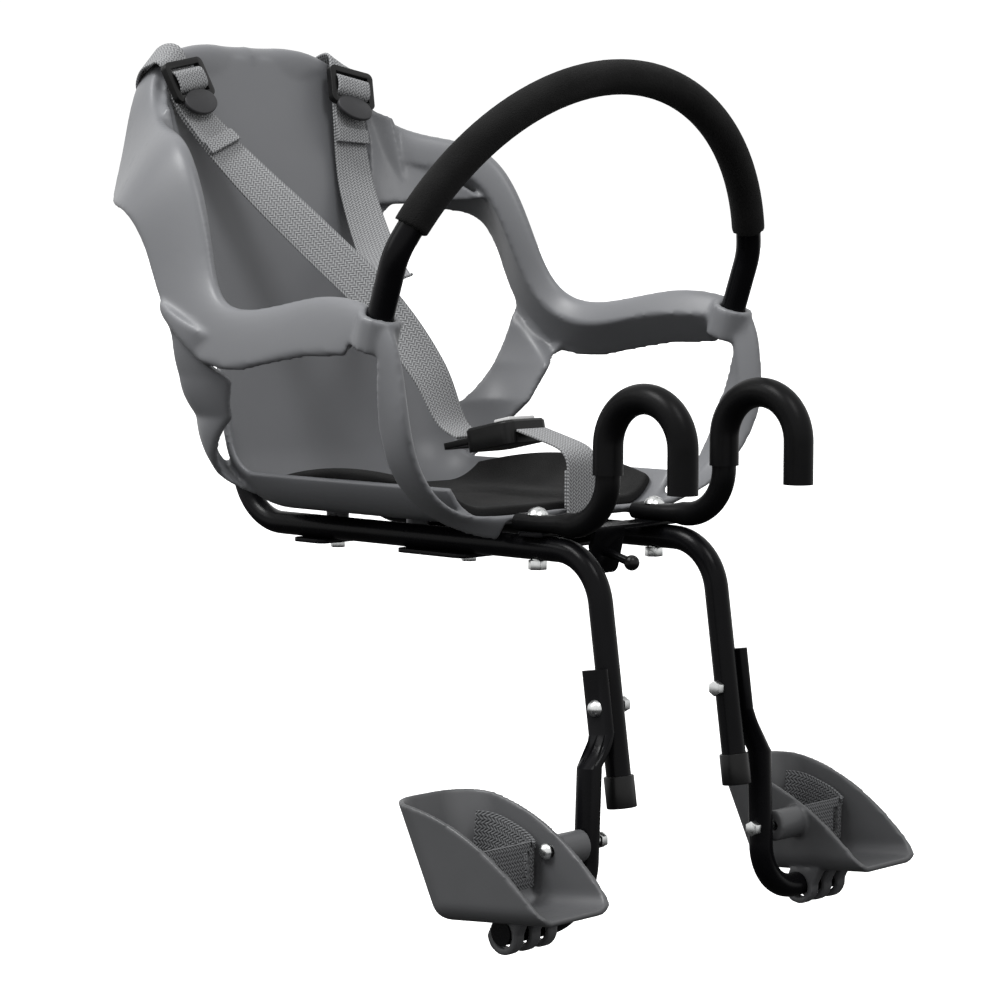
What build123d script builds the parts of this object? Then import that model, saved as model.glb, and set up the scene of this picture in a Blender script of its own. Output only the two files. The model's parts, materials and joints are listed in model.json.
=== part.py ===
from build123d import *
from math import atan2, cos, degrees, hypot, radians, sin, tan
import os

# Child seat that hangs on a bicycle handlebar, millimetres.
# X runs across the bicycle, -Y is forward, +Z is up.
# The origin is the axis of the two hooks, midway between them, where the handlebar lies.

# Clearances
FIT = 0.15
SLACK = 0.3
OUT_OF_ROUND = 0.01

# Frame tubes
TUBE_D = 14.0
RAIL_X = 50.0
RAIL_Z = -60.0
LEG_CORNER_Y = 36.0
LEG_LEAN = 8.3
LEG_END_Z = -198.0
LEG_BEND_R = 32.0
REAR_CORNER_Y = 322.0
REAR_BEND_R = 36.0
LOOP_TOP_Z = 10.0
LOOP_BEND_R = 30.0

# Hooks
HOOK_R = 27.0
HOOK_DROP = 24.0
HOOK_COAT = 1.5
COAT_END_Z = -16.0
HOOK_BEND_R = 28.0
TAIL_T = 9.5
TAIL_W = 17.0
TAIL_START_Y = HOOK_R + HOOK_BEND_R + 2.0
TAIL_FLAT_Y = TAIL_START_Y + 11.0
HOOK_BOLT_Y = TAIL_FLAT_Y + 12.0
TAIL_END_Y = HOOK_BOLT_Y + 12.0

# Seat shell
WALL = 4.0
RECLINE = 15.7
PAN_Z = -47.0
PAN_FRONT_Y = 104.0
BACK_TOP_Y = 378.0
BACK_TOP_Z = 226.0
PAN_CORNER_R = 45.0
DISH_FLAT = 60.0
DISH_R = 40.0
DISH_ANGLE = 62.0
WAIST_HALF_W = 78.0
OVAL_LOW_Z = 12.0
OVAL_TOP_Z = 147.0
OVAL_R = 36.0
SHOULDER_HALF_W = 76.0
RIM_TOP_Z = 235.0
ARM_X = 150.0
ARM_Z = 80.0
SOCKET_Y = 103.0
POST_Y = 82.0
LIP_Y = 96.0
LIP_Z = -43.0
NOTCH_HALF_W = 59.0
NOTCH_TOP_Z = -46.0
BOSS_D = 14.0

# Seat pad
PAD_T = 6.0
PAD_W = 112.0
PAD_FRONT_Y = 120.0
PAD_REAR_Y = 265.0
PAD_R = 24.0

# Plates and bolts
PLATE_T = 2.5
PLATE_W = 120.0
FRONT_PLATE_Y = 158.0
FRONT_PLATE_L = 56.0
REAR_PLATE_Y = 262.0
REAR_PLATE_L = 28.0
SEAT_BOLT_Y = (150.0, 262.0)
SEAT_BOLT_X = 34.0
M5 = 5.0
M6 = 6.0

# Stop on the frame
BRACKET_L = 18.0
BRACKET_Y = HOOK_BOLT_Y - 1.5
TAB_W = 26.0
TAB_H = 24.0
STOP_TILT = 14.0
STOP_DROP = 13.0
STOP_REACH = 20.0
BALL_D = 9.0

# Grab hoop
HOOP_HALF_W = 150.0
HOOP_BASE_Z = 72.0
HOOP_LEAN = 19.1
HOOP_D = 15.0
HOOP_LEG = 27.0
HOOP_RISE = 140.0
HOOP_SHOULDER_R = 40.0
HOOP_PLUG = 34.0
GRIP_D = 20.0
GRIP_START = 50.0
SOCKET_D = 25.0

# Footrest arms
ARM_BOLT_Z = -144.0
ARM_FLAT_T = 6.5
ARM_FLAT_W = 17.0
ARM_FLAT_TOP_Z = -123.0
ARM_FLAT_END_Z = -158.0
ARM_OUT_X = 69.0
ARM_ROUND_Z = -180.0
ARM_FOOT_Z = -263.0
ARM_FOOT_R = 30.0
ARM_END_X = 143.0

# Footrests
TRAY_X = 135.0
TRAY_W = 56.0
TRAY_FLARE = 10.0
TRAY_WALL = 3.0
TRAY_FRONT_Y = -26.0
TRAY_HEEL_Y = 66.0
TRAY_FLOOR_Z = -251.0
TRAY_TOP_Z = -193.0
TRAY_HEEL_LEAN = 26.0
TRAY_HEEL_R = 24.0
TRAY_BASE_R = 11.0
TRAY_BOLT_Z = -224.0
LUG_T = 7.0
LUG_D = 22.0
LUG_X = (113.0, 126.0, 139.0)

# Harness
WEB_W = 25.0
WEB_T = 1.8
RING_D = 3.2
ADJUSTER_W = 34.0
ADJUSTER_L = 26.0
ADJUSTER_T = 4.5
BUCKLE_Y = 152.0
BUCKLE_Z = -2.0
BUCKLE_PITCH = 12.0
BUCKLE_W = 36.0
BUCKLE_L = 38.0
BUCKLE_T = 14.0
TONGUE_W = 29.0
TONGUE_T = 4.0
TONGUE_IN = 26.0
TONGUE_OUT = 22.0
BUTTON_W = 22.0
BUTTON_L = 13.0
BUTTON_T = 3.6
BUTTON_TRAVEL = 2.0
FOOT_BAND_HALF_W = TRAY_W / 2 - TRAY_WALL - 4.0
FOOT_BAND_TOE_Y = 8.0
FOOT_BAND_Z = -229.0


def side_view(x):
    """Plane at x where local x is Y and local y is Z."""
    return Plane(origin=(x, 0, 0), x_dir=(0, 1, 0), z_dir=(1, 0, 0))


def bar(path, d, out_of_round=0):
    """Capped tube along a path."""
    section = Ellipse(d / 2, d / 2 - out_of_round) if out_of_round else Circle(d / 2)
    return sweep(Plane(origin=path @ 0, z_dir=path % 0) * section, path=path)


def rod(start, end, d):
    """Straight round bar between two points."""
    axis = Vector(*end) - Vector(*start)
    return extrude(Plane(origin=start, z_dir=axis) * Circle(d / 2), amount=axis.length)


def cap_nut(seat, axis, m):
    """Closed hexagon nut with its seat face at a point."""
    return extrude(Plane(origin=seat, z_dir=axis) * RegularPolygon(m * 0.92, 6), amount=m * 0.9)


def dome_bolt(seat, axis, m, length, head_d, head_h):
    """Domed bolt: head stands on seat against the axis, shank runs along it."""
    place = Plane(origin=seat, z_dir=axis)
    shank = extrude(place * Circle(m / 2), amount=length)
    cap_r = (head_d**2 / 4 + head_h**2) / (2 * head_h)
    outline = Polyline((0, 0), (head_d / 2, 0)) + ThreePointArc(
        (head_d / 2, 0),
        (cap_r * sin(atan2(head_d / 2, cap_r - head_h) / 2), head_h - cap_r
         + cap_r * cos(atan2(head_d / 2, cap_r - head_h) / 2)),
        (0, head_h),
    ) + Line((0, head_h), (0, 0))
    head = revolve(Plane.XZ * make_face(outline), axis=Axis.Z)
    return shank + Plane(origin=seat, z_dir=-Vector(*axis)) * head


def both_sides(shape):
    """The shape and its mirror image across the middle of the bicycle."""
    return Compound(children=[shape.solid(), mirror(shape, Plane.YZ).solid()])


def leg_y(z):
    """Y of the leg's centre line at a height."""
    return LEG_CORNER_Y - (RAIL_Z - z) * tan(radians(LEG_LEAN))


def back_y(z):
    """Y of the middle of the back's wall at a height."""
    return BACK_TOP_Y - (BACK_TOP_Z - z) * tan(radians(RECLINE))


# Frame

def base_frame():
    """One tube: leg, rail, loop behind the back, rail and leg."""
    rise = (LOOP_TOP_Z - RAIL_Z) * tan(radians(RECLINE))
    half = [
        (leg_y(LEG_END_Z), LEG_END_Z),
        (LEG_CORNER_Y, RAIL_Z),
        (REAR_CORNER_Y, RAIL_Z),
        (REAR_CORNER_Y + rise, LOOP_TOP_Z),
    ]
    right = [(-RAIL_X, y, z) for y, z in half]
    left = [(RAIL_X, y, z) for y, z in reversed(half)]
    radii = [LEG_BEND_R, REAR_BEND_R, LOOP_BEND_R]
    path = FilletPolyline(*right, *left, radius=[*radii, *reversed(radii)])
    frame = bar(path, TUBE_D)
    for x in (-RAIL_X, RAIL_X):
        top, low = (x, HOOK_BOLT_Y, RAIL_Z + TUBE_D), (x, HOOK_BOLT_Y, RAIL_Z - TUBE_D)
        frame -= rod(top, low, M6 + 2 * FIT)
        y = leg_y(ARM_BOLT_Z)
        frame -= rod((x - TUBE_D, y, ARM_BOLT_Z), (x + TUBE_D, y, ARM_BOLT_Z), M5 + 2 * FIT)
    return frame


TAIL_Z = RAIL_Z + TUBE_D / 2 + PLATE_T + TAIL_T / 2


def right_hook():
    """Gooseneck with a coated crook and a flattened, drilled tail."""
    view = side_view(-RAIL_X)
    crook = (
        Line((-HOOK_R, -HOOK_DROP), (-HOOK_R, 0))
        + ThreePointArc((-HOOK_R, 0), (0, HOOK_R), (HOOK_R, 0))
        + Line((HOOK_R, 0), (HOOK_R, COAT_END_Z))
    )
    bend_top = TAIL_Z + HOOK_BEND_R
    bend_mid = HOOK_BEND_R * (1 - cos(radians(45)))
    neck = (
        Line((HOOK_R, COAT_END_Z), (HOOK_R, bend_top))
        + ThreePointArc(
            (HOOK_R, bend_top),
            (HOOK_R + bend_mid, TAIL_Z + bend_mid),
            (HOOK_R + HOOK_BEND_R, TAIL_Z),
        )
        + Line((HOOK_R + HOOK_BEND_R, TAIL_Z), (TAIL_START_Y, TAIL_Z))
    )
    coated = TUBE_D + 2 * HOOK_COAT
    hook = bar(view * crook, coated, OUT_OF_ROUND) + bar(view * neck, TUBE_D)
    facing = (0, 1, 0)
    round_end = Plane(origin=(-RAIL_X, TAIL_START_Y, TAIL_Z), x_dir=(1, 0, 0), z_dir=facing)
    flat_end = Plane(origin=(-RAIL_X, TAIL_FLAT_Y, TAIL_Z), x_dir=(1, 0, 0), z_dir=facing)
    flat = RectangleRounded(TAIL_W, TAIL_T, TAIL_T / 2 - FIT)
    hook += loft([round_end * Circle(TUBE_D / 2).face(), flat_end * flat.face()])
    hook += extrude(flat_end * flat, amount=TAIL_END_Y - TAIL_FLAT_Y)
    bore_top = (-RAIL_X, HOOK_BOLT_Y, TAIL_Z + TAIL_T)
    bore_low = (-RAIL_X, HOOK_BOLT_Y, TAIL_Z - TAIL_T)
    return hook - rod(bore_top, bore_low, M6 + 2 * FIT)


def cross_plate(y, length, bolt_ys):
    """Flat steel plate under both rails with its bolt holes."""
    z = RAIL_Z - TUBE_D / 2
    plate = extrude(Plane.XY.offset(z) * Pos(0, y) * RectangleRounded(PLATE_W, length, 6), -PLATE_T)
    for x in (-SEAT_BOLT_X, SEAT_BOLT_X):
        for bolt_y in bolt_ys:
            plate -= rod((x, bolt_y, z + 1), (x, bolt_y, z - 2 * PLATE_T), M5 + 2 * FIT)
    return plate


STOP_PLANE = Plane(
    origin=(0, BRACKET_Y - BRACKET_L / 2, RAIL_Z + TUBE_D / 2),
    x_dir=(1, 0, 0),
    z_dir=(0, -cos(radians(STOP_TILT)), -sin(radians(STOP_TILT))),
)


def stop_bracket():
    """Strip over both rails, with a tab folded down in the middle of its front edge."""
    base = Plane.XY.offset(RAIL_Z + TUBE_D / 2) * Pos(0, BRACKET_Y)
    strip = extrude(base * RectangleRounded(PLATE_W, BRACKET_L, 4), amount=PLATE_T)
    tab = extrude(STOP_PLANE * Pos(0, -TAB_H / 2) * RectangleRounded(TAB_W, TAB_H + 4, 4), -PLATE_T)
    bracket = strip + tab
    for x in (-RAIL_X, RAIL_X):
        low, top = (x, HOOK_BOLT_Y, RAIL_Z), (x, HOOK_BOLT_Y, RAIL_Z + TUBE_D)
        bracket -= rod(low, top, M6 + 2 * FIT)
    hole = STOP_PLANE * Pos(0, -STOP_DROP) * Circle(M5 / 2 + FIT)
    return bracket - extrude(hole, amount=2 * PLATE_T, both=True)


def stop_rod():
    """Set rod through the tab, with a lock nut behind it."""
    shank = extrude(STOP_PLANE * Pos(0, -STOP_DROP, -12) * Circle(M5 / 2), amount=12 + STOP_REACH)
    seat = STOP_PLANE * Pos(0, -STOP_DROP, -PLATE_T)
    nut = extrude(seat * RegularPolygon(radius=M5 * 0.92, side_count=6), amount=-M5 * 0.8)
    return shank + nut


def stop_ball():
    """Ball end pressed on the tip of the set rod."""
    ball = STOP_PLANE * Pos(0, -STOP_DROP, STOP_REACH) * Sphere(BALL_D / 2)
    return ball - extrude(
        STOP_PLANE * Pos(0, -STOP_DROP, STOP_REACH - BALL_D) * Circle(M5 / 2), amount=BALL_D
    )


def right_leg_cap():
    """Plastic cap pushed over the end of a leg."""
    axis = Vector(0, leg_y(LEG_END_Z) - LEG_CORNER_Y, LEG_END_Z - RAIL_Z).normalized()
    end = Vector(-RAIL_X, leg_y(LEG_END_Z), LEG_END_Z)
    cap = rod(end - axis * 16, end + axis * 2, TUBE_D + 3)
    return cap - rod(end - axis * 17, end, TUBE_D + 2 * FIT)


# Seat shell

# Each rim station is a ridge point, the way outward from the seat, then the inner and outer
# edges, each as a depth below the ridge and an offset inward or outward.
RIM = [
    ((0, BACK_TOP_Y + 4, RIM_TOP_Z), (0, 1, 0), 26, 7, 4, 15),
    ((24, BACK_TOP_Y + 4, RIM_TOP_Z), (0, 1, 0), 26, 7, 4, 15),
    ((50, BACK_TOP_Y + 2, RIM_TOP_Z - 2), (0.1, 1, 0), 26, 7, 6, 14),
    ((SHOULDER_HALF_W, BACK_TOP_Y - 3, RIM_TOP_Z - 15), (0.6, 0.8, 0), 22, 6, 10, 14),
    ((SHOULDER_HALF_W + 15, BACK_TOP_Y - 17, RIM_TOP_Z - 38), (0.8, 0.6, 0), 22, 5, 30, 20),
    ((SHOULDER_HALF_W + 31, BACK_TOP_Y - 50, RIM_TOP_Z - 57), (0.9, 0.43, 0), 18, 5, 44, 33),
    ((ARM_X - 26, BACK_TOP_Y - 87, RIM_TOP_Z - 71), (0.95, 0.3, 0), 14, 4, 42, 34),
    ((ARM_X - 18, BACK_TOP_Y - 111, ARM_Z + 48), (1, 0.1, 0), 12, 5, 38, 23),
    ((ARM_X - 12, BACK_TOP_Y - 125, ARM_Z + 15), (1, 0, 0), 12, 6, 38, 14),
    ((ARM_X - 6, BACK_TOP_Y - 142, ARM_Z - 3), (1, 0, 0), 12, 9, 36, 10),
    ((ARM_X - 3, BACK_TOP_Y - 174, ARM_Z - 6), (1, 0, 0), 14, 11, 31, 10),
    ((ARM_X - 2, SOCKET_Y + 62, ARM_Z), (1, 0, 0), 14, 11, 30, 10),
    ((ARM_X + 1, SOCKET_Y + 22, ARM_Z + 1), (1, 0, 0), 14, 11, 30, 9),
    ((ARM_X + 3, SOCKET_Y - 7, ARM_Z - 10), (1, 0, 0), 12, 10, 30, 6),
    ((ARM_X + 2, POST_Y + 2, ARM_Z - 40), (1, 0, 0), 10, 9, 28, 2),
    ((ARM_X - 1, POST_Y, LIP_Z + 55), (1, 0, -0.15), 8, 8, 27, -2),
    ((ARM_X - 12, POST_Y + 3, LIP_Z + 32), (0.8, 0, -0.6), 8, 7, 26, -1),
    ((ARM_X - 32, LIP_Y - 7, LIP_Z + 13), (0.5, 0, -0.87), 10, 5, 22, 2),
    ((ARM_X - 58, LIP_Y - 3, LIP_Z + 3), (0.12, 0, -1), 12, 1, 14, 7),
    ((62, LIP_Y - 1, LIP_Z), (0, 0, -1), 14, -3, 5, 11),
    ((31, LIP_Y, LIP_Z), (0, 0, -1), 14, -3, 5, 11),
    ((0, LIP_Y, LIP_Z), (0, 0, -1), 14, -3, 5, 11),
]


def rim_section(ridge, along, outward, in_depth, in_offset, out_depth, out_offset):
    """Rounded rim section with a plain under face, square to the rim's run."""
    ridge = Vector(*ridge)
    along = along.normalized()
    out = Vector(*outward)
    out = (out - along * out.dot(along)).normalized()
    down = out.cross(along).normalized()
    inner = ridge + down * in_depth - out * in_offset
    outer = ridge + down * out_depth + out * out_offset
    chord = (outer - inner).normalized()
    inward = inner - ridge
    inward = (inward - chord * inward.dot(chord)).normalized()
    foot = outer + inward * WALL
    edges = [
        Edge.make_spline([inner, ridge, outer]),
        Edge.make_line(outer, foot),
        Edge.make_line(foot, inner),
    ]
    return Face(Wire(edges))


def half_rim():
    """Rim of the left half: top, wing, upright, armrest, front post and lip."""
    ridges = [Vector(*station[0]) for station in RIM]
    sections = []
    for i, station in enumerate(RIM):
        if i == 0:
            along = Vector(1, 0, 0)
        elif i == len(RIM) - 1:
            along = Vector(-1, 0, 0)
        else:
            ahead = (ridges[i + 1] - ridges[i]).normalized()
            along = ahead + (ridges[i] - ridges[i - 1]).normalized()
        sections.append(rim_section(station[0], along, *station[1:]))
    return loft(sections).solid()


# Each strut station is its front edge and its rear edge.
STRUT = [
    ((ARM_X, 232, ARM_Z - 24), (ARM_X + 2, 286, ARM_Z - 2)),
    ((ARM_X - 5, 262, ARM_Z - 54), (ARM_X - 3, 300, ARM_Z - 42)),
    ((130, 282, PAN_Z + 41), (128, 310, OVAL_LOW_Z)),
    ((108, 284, PAN_Z + 20), (104, 316, OVAL_LOW_Z - 12)),
    ((84, 278, PAN_Z + 7), (84, 322, OVAL_LOW_Z - 18)),
]


def half_strut():
    """Curved strut from the armrest's rear end down to the corner of pan and back."""
    sections = []
    for front, rear in STRUT:
        front, rear = Vector(*front), Vector(*rear)
        chord = rear - front
        out = Vector(1, 0.2, -0.35)
        out = (out - chord * (out.dot(chord) / chord.dot(chord))).normalized()
        mid = (front + rear) * 0.5 + out * WALL
        half = out * (WALL / 2)
        outer = Edge.make_three_point_arc(front + half, mid + half, rear + half)
        inner = Edge.make_three_point_arc(rear - half, mid - half, front - half)
        rear_edge = Edge.make_line(rear + half, rear - half)
        front_edge = Edge.make_line(front - half, front + half)
        sections.append(Face(Wire([outer, rear_edge, inner, front_edge])))
    return loft(sections).solid()


def dish_section():
    """Wall section of pan and back: flat in the middle, curling up at both sides."""
    rise = radians(DISH_ANGLE)
    centre = Vector(DISH_FLAT, PAN_FRONT_Y, PAN_Z + DISH_R)

    def at(radius, angle, side):
        return Vector(
            side * (centre.X + radius * sin(angle)), centre.Y, centre.Z - radius * cos(angle)
        )

    def curl(radius, side):
        return Edge.make_three_point_arc(*[at(radius, a, side) for a in (0, rise / 2, rise)])

    near, far = DISH_R - WALL / 2, DISH_R + WALL / 2
    edges = [
        Edge.make_line(at(near, 0, -1), at(near, 0, 1)),
        curl(near, 1),
        Edge.make_line(at(near, rise, 1), at(far, rise, 1)),
        curl(far, 1),
        Edge.make_line(at(far, 0, 1), at(far, 0, -1)),
        curl(far, -1),
        Edge.make_line(at(far, rise, -1), at(near, rise, -1)),
        curl(near, -1),
    ]
    return Face(Wire(edges))


def tub():
    """Pan and back in one sweep, cut to a waist beside the open ovals."""
    foot_y = back_y(PAN_Z)
    path = FilletPolyline(
        (0, PAN_FRONT_Y, PAN_Z),
        (0, foot_y, PAN_Z),
        (0, BACK_TOP_Y, BACK_TOP_Z),
        radius=PAN_CORNER_R,
    )
    wall = sweep(dish_section(), path=path)
    height = OVAL_TOP_Z - OVAL_LOW_Z
    oval = RectangleRounded(2 * DISH_R, height, OVAL_R)
    for side in (-1, 1):
        middle = Pos(side * (WAIST_HALF_W + DISH_R), (OVAL_TOP_Z + OVAL_LOW_Z) / 2)
        wall -= extrude(Plane.XZ * middle * oval, amount=-2 * BACK_TOP_Y)
        top = Pos(side * (SHOULDER_HALF_W + DISH_R), BACK_TOP_Z)
        wall -= extrude(Plane.XZ * top * Circle(DISH_R), amount=-2 * BACK_TOP_Y)
    return wall


def hoop_plane():
    """Plane of the grab hoop, leaning forward as it rises."""
    lean = radians(HOOP_LEAN)
    base = (0, SOCKET_Y, HOOP_BASE_Z)
    return Plane(origin=base, x_dir=(1, 0, 0), z_dir=(0, -cos(lean), -sin(lean)))


def seat_shell():
    """The moulded seat: tub, rim, struts, hoop sockets, bolt bosses and lip notch."""
    half = half_rim() + half_strut()
    plane = hoop_plane()
    low = plane.from_local_coords((HOOP_HALF_W, -HOOP_PLUG - WALL, 0))
    top = plane.from_local_coords((HOOP_HALF_W, 0, 0))
    half += rod(low, top, SOCKET_D)
    bore_low = plane.from_local_coords((HOOP_HALF_W, -HOOP_PLUG - FIT, 0))
    bore_top = plane.from_local_coords((HOOP_HALF_W, HOOP_LEG, 0))
    half -= rod(bore_low, bore_top, HOOP_D + 2 * FIT)
    shell = half + mirror(half, Plane.YZ) + tub()
    for x in (-SEAT_BOLT_X, SEAT_BOLT_X):
        for y in SEAT_BOLT_Y:
            shell += rod((x, y, PAN_Z), (x, y, RAIL_Z - TUBE_D / 2), BOSS_D)
            shell -= rod((x, y, PAN_Z + WALL), (x, y, RAIL_Z - TUBE_D), M5 + 2 * FIT)
    corner = (Align.CENTER, Align.MIN, Align.MAX)
    notch_l = PAN_FRONT_Y + WALL - TAIL_START_Y
    shell -= Pos(0, TAIL_START_Y, NOTCH_TOP_Z) * Box(2 * NOTCH_HALF_W, notch_l, 30, align=corner)
    under_l = notch_l + 3 * WALL
    under_z = PAN_Z - WALL / 2
    return shell - Pos(0, TAIL_START_Y, under_z) * Box(2 * NOTCH_HALF_W, under_l, 30, align=corner)


def seat_pad():
    """Foam pad in the pan, hollowed over the bolt heads."""
    length = PAD_REAR_Y - PAD_FRONT_Y
    low = PAN_Z + WALL / 2 + SLACK
    middle = Pos(0, (PAD_REAR_Y + PAD_FRONT_Y) / 2)
    pad = extrude(Plane.XY.offset(low) * middle * RectangleRounded(PAD_W, length, PAD_R), PAD_T)
    for x in (-SEAT_BOLT_X, SEAT_BOLT_X):
        for y in SEAT_BOLT_Y:
            pad -= rod((x, y, low - 1), (x, y, low + PAD_T / 2), 2.6 * M5)
    return pad


# Grab hoop

def crown_radius():
    """Radius of the crown, tangent to both shoulders and through the top."""
    off, drop = HOOP_HALF_W - HOOP_SHOULDER_R, HOOP_RISE - HOOP_LEG
    return (off**2 + drop**2 - HOOP_SHOULDER_R**2) / (2 * (drop - HOOP_SHOULDER_R))


def hoop_path():
    """Arch in the hoop's plane from one socket floor to the other."""
    w, r, off = HOOP_HALF_W, HOOP_SHOULDER_R, HOOP_HALF_W - HOOP_SHOULDER_R
    tilt = atan2(off, crown_radius() - HOOP_RISE + HOOP_LEG)
    join = (off + r * sin(tilt), HOOP_LEG + r * cos(tilt))
    half_turn = (radians(90) - tilt) / 2
    half = (off + r * cos(half_turn), HOOP_LEG + r * sin(half_turn))
    return (
        Line((-w, -HOOP_PLUG), (-w, HOOP_LEG))
        + ThreePointArc((-w, HOOP_LEG), (-half[0], half[1]), (-join[0], join[1]))
        + ThreePointArc((-join[0], join[1]), (0, HOOP_RISE), join)
        + ThreePointArc(join, half, (w, HOOP_LEG))
        + Line((w, HOOP_LEG), (w, -HOOP_PLUG))
    )


def grab_hoop():
    """Bent tube whose ends stand in the armrest sockets."""
    return bar(hoop_plane() * hoop_path(), HOOP_D, OUT_OF_ROUND)


def foam_grip():
    """Foam sleeve over the crown of the hoop."""
    low = crown_radius() - HOOP_RISE + GRIP_START
    reach = (crown_radius() ** 2 - low**2) ** 0.5
    path = hoop_plane() * ThreePointArc((-reach, GRIP_START), (0, HOOP_RISE), (reach, GRIP_START))
    bore_r = HOOP_D / 2 + FIT
    ring = Ellipse(GRIP_D / 2, GRIP_D / 2 - OUT_OF_ROUND) - Ellipse(bore_r, bore_r - OUT_OF_ROUND)
    return sweep(Plane(origin=path @ 0, z_dir=path % 0) * ring, path=path)


# Footrests

FLAT_X = RAIL_X + TUBE_D / 2 + SLACK / 2 + ARM_FLAT_T / 2


def left_arm():
    """Footrest tube: flattened against the leg, out, down and under the footrest."""
    lean = Vector(0, -tan(radians(LEG_LEAN)), -1).normalized()
    flat = RectangleRounded(ARM_FLAT_T, ARM_FLAT_W, ARM_FLAT_T / 2 - FIT)
    top = Plane(origin=(FLAT_X, leg_y(ARM_FLAT_TOP_Z), ARM_FLAT_TOP_Z), x_dir=(1, 0, 0), z_dir=lean)
    end = Plane(origin=(FLAT_X, leg_y(ARM_FLAT_END_Z), ARM_FLAT_END_Z), x_dir=(1, 0, 0), z_dir=lean)
    y = leg_y(ARM_ROUND_Z)
    start = Plane(origin=(ARM_OUT_X, y, ARM_ROUND_Z), x_dir=(1, 0, 0), z_dir=(0, 0, -1))
    run = (Vector(*end.origin) - Vector(*top.origin)).length
    arm = extrude(top * flat, amount=run)
    arm += loft([end * flat.face(), start * Circle(TUBE_D / 2).face()])
    path = FilletPolyline(
        (ARM_OUT_X, y, ARM_ROUND_Z),
        (ARM_OUT_X, y, ARM_FOOT_Z),
        (ARM_END_X, y, ARM_FOOT_Z),
        radius=ARM_FOOT_R,
    )
    arm += bar(path, TUBE_D)
    bolt_y = leg_y(ARM_BOLT_Z)
    arm -= rod((RAIL_X, bolt_y, ARM_BOLT_Z), (TRAY_X, bolt_y, ARM_BOLT_Z), M5 + 2 * FIT)
    return arm - rod((RAIL_X, y, TRAY_BOLT_Z), (TRAY_X, y, TRAY_BOLT_Z), M5 + 2 * FIT)


def tray_outline(half_w, heel_y, corner_r):
    """Plan of a footrest: open ahead, rounded at the heel."""
    ahead = TRAY_FRONT_Y - 2 * TRAY_HEEL_R
    corners = [(-half_w, ahead), (-half_w, heel_y), (half_w, heel_y), (half_w, ahead)]
    outline = make_face(Polyline(*corners, close=True))
    return fillet(outline.vertices().sort_by(Axis.Y)[-2:], corner_r)


def scoop_form(inset):
    """Solid form of a foot scoop, drawn in by an inset on its floor and walls."""
    half_low = TRAY_W / 2 - inset
    half_top = half_low + TRAY_FLARE / 2
    heel = TRAY_HEEL_Y - inset
    corner_r = TRAY_HEEL_R - inset
    low = tray_outline(half_low, heel, corner_r)
    top = tray_outline(half_top, heel + TRAY_HEEL_LEAN, corner_r)
    floor = Plane.XY.offset(TRAY_FLOOR_Z + inset) * Pos(TRAY_X)
    brim = Plane.XY.offset(TRAY_TOP_Z) * Pos(TRAY_X)
    form = loft([(floor * low).face(), (brim * top).face()])
    base_edges = form.faces().sort_by(Axis.Z)[0].edges().sort_by(Axis.Y)[1:]
    return fillet(base_edges, TRAY_BASE_R - inset)


def left_footrest():
    """Foot scoop: flared walls falling to an open toe, a boss and clips below."""
    scoop = scoop_form(0) - scoop_form(TRAY_WALL)
    heel = TRAY_HEEL_Y + TRAY_HEEL_LEAN
    fall = ThreePointArc(
        (TRAY_FRONT_Y, TRAY_FLOOR_Z + TRAY_WALL + 1),
        (TRAY_FRONT_Y + 0.4 * (heel - TRAY_FRONT_Y), TRAY_TOP_Z - 19),
        (heel, TRAY_TOP_Z - 1),
    )
    above = fall + Polyline(
        (heel, TRAY_TOP_Z - 1), (heel, 0), (-2 * heel, 0), (-2 * heel, 2 * TRAY_FLOOR_Z),
        (TRAY_FRONT_Y, 2 * TRAY_FLOOR_Z), (TRAY_FRONT_Y, TRAY_FLOOR_Z + TRAY_WALL + 1),
    )
    scoop -= extrude(side_view(0) * make_face(above), amount=2 * TRAY_X)
    y = leg_y(ARM_ROUND_Z)
    face_x = ARM_OUT_X + TUBE_D / 2 + SLACK / 2
    wall_x = TRAY_X - TRAY_W / 2
    scoop += rod((face_x, y, TRAY_BOLT_Z), (wall_x, y, TRAY_BOLT_Z), 3.2 * M5)
    tray_top = TRAY_FLOOR_Z + TRAY_WALL / 2
    for x in LUG_X:
        lug = Pos(y, ARM_FOOT_Z) * Circle(LUG_D / 2)
        web = Pos(y, (ARM_FOOT_Z + tray_top) / 2) * Rectangle(LUG_D, tray_top - ARM_FOOT_Z)
        blank = extrude(side_view(x - LUG_T / 2) * (lug + web), amount=LUG_T)
        scoop += blank
    scoop -= rod((ARM_OUT_X, y, ARM_FOOT_Z), (2 * TRAY_X, y, ARM_FOOT_Z), TUBE_D + 2 * FIT)
    return scoop - rod((ARM_OUT_X, y, TRAY_BOLT_Z), (TRAY_X, y, TRAY_BOLT_Z), M5 + 2 * FIT)


# Fasteners

def hook_bolts():
    """Domed bolts down through hook tails, stop bracket and rails."""
    seat = (RAIL_X, HOOK_BOLT_Y, TAIL_Z + TAIL_T / 2)
    length = seat[2] - (RAIL_Z - TUBE_D / 2)
    return both_sides(dome_bolt(seat, (0, 0, -1), M6, length, 2.1 * M6, 0.7 * M6))


def hook_nuts():
    """Nuts under the rails on the hook bolts."""
    return both_sides(cap_nut((RAIL_X, HOOK_BOLT_Y, RAIL_Z - TUBE_D / 2), (0, 0, -1), M6))


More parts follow.
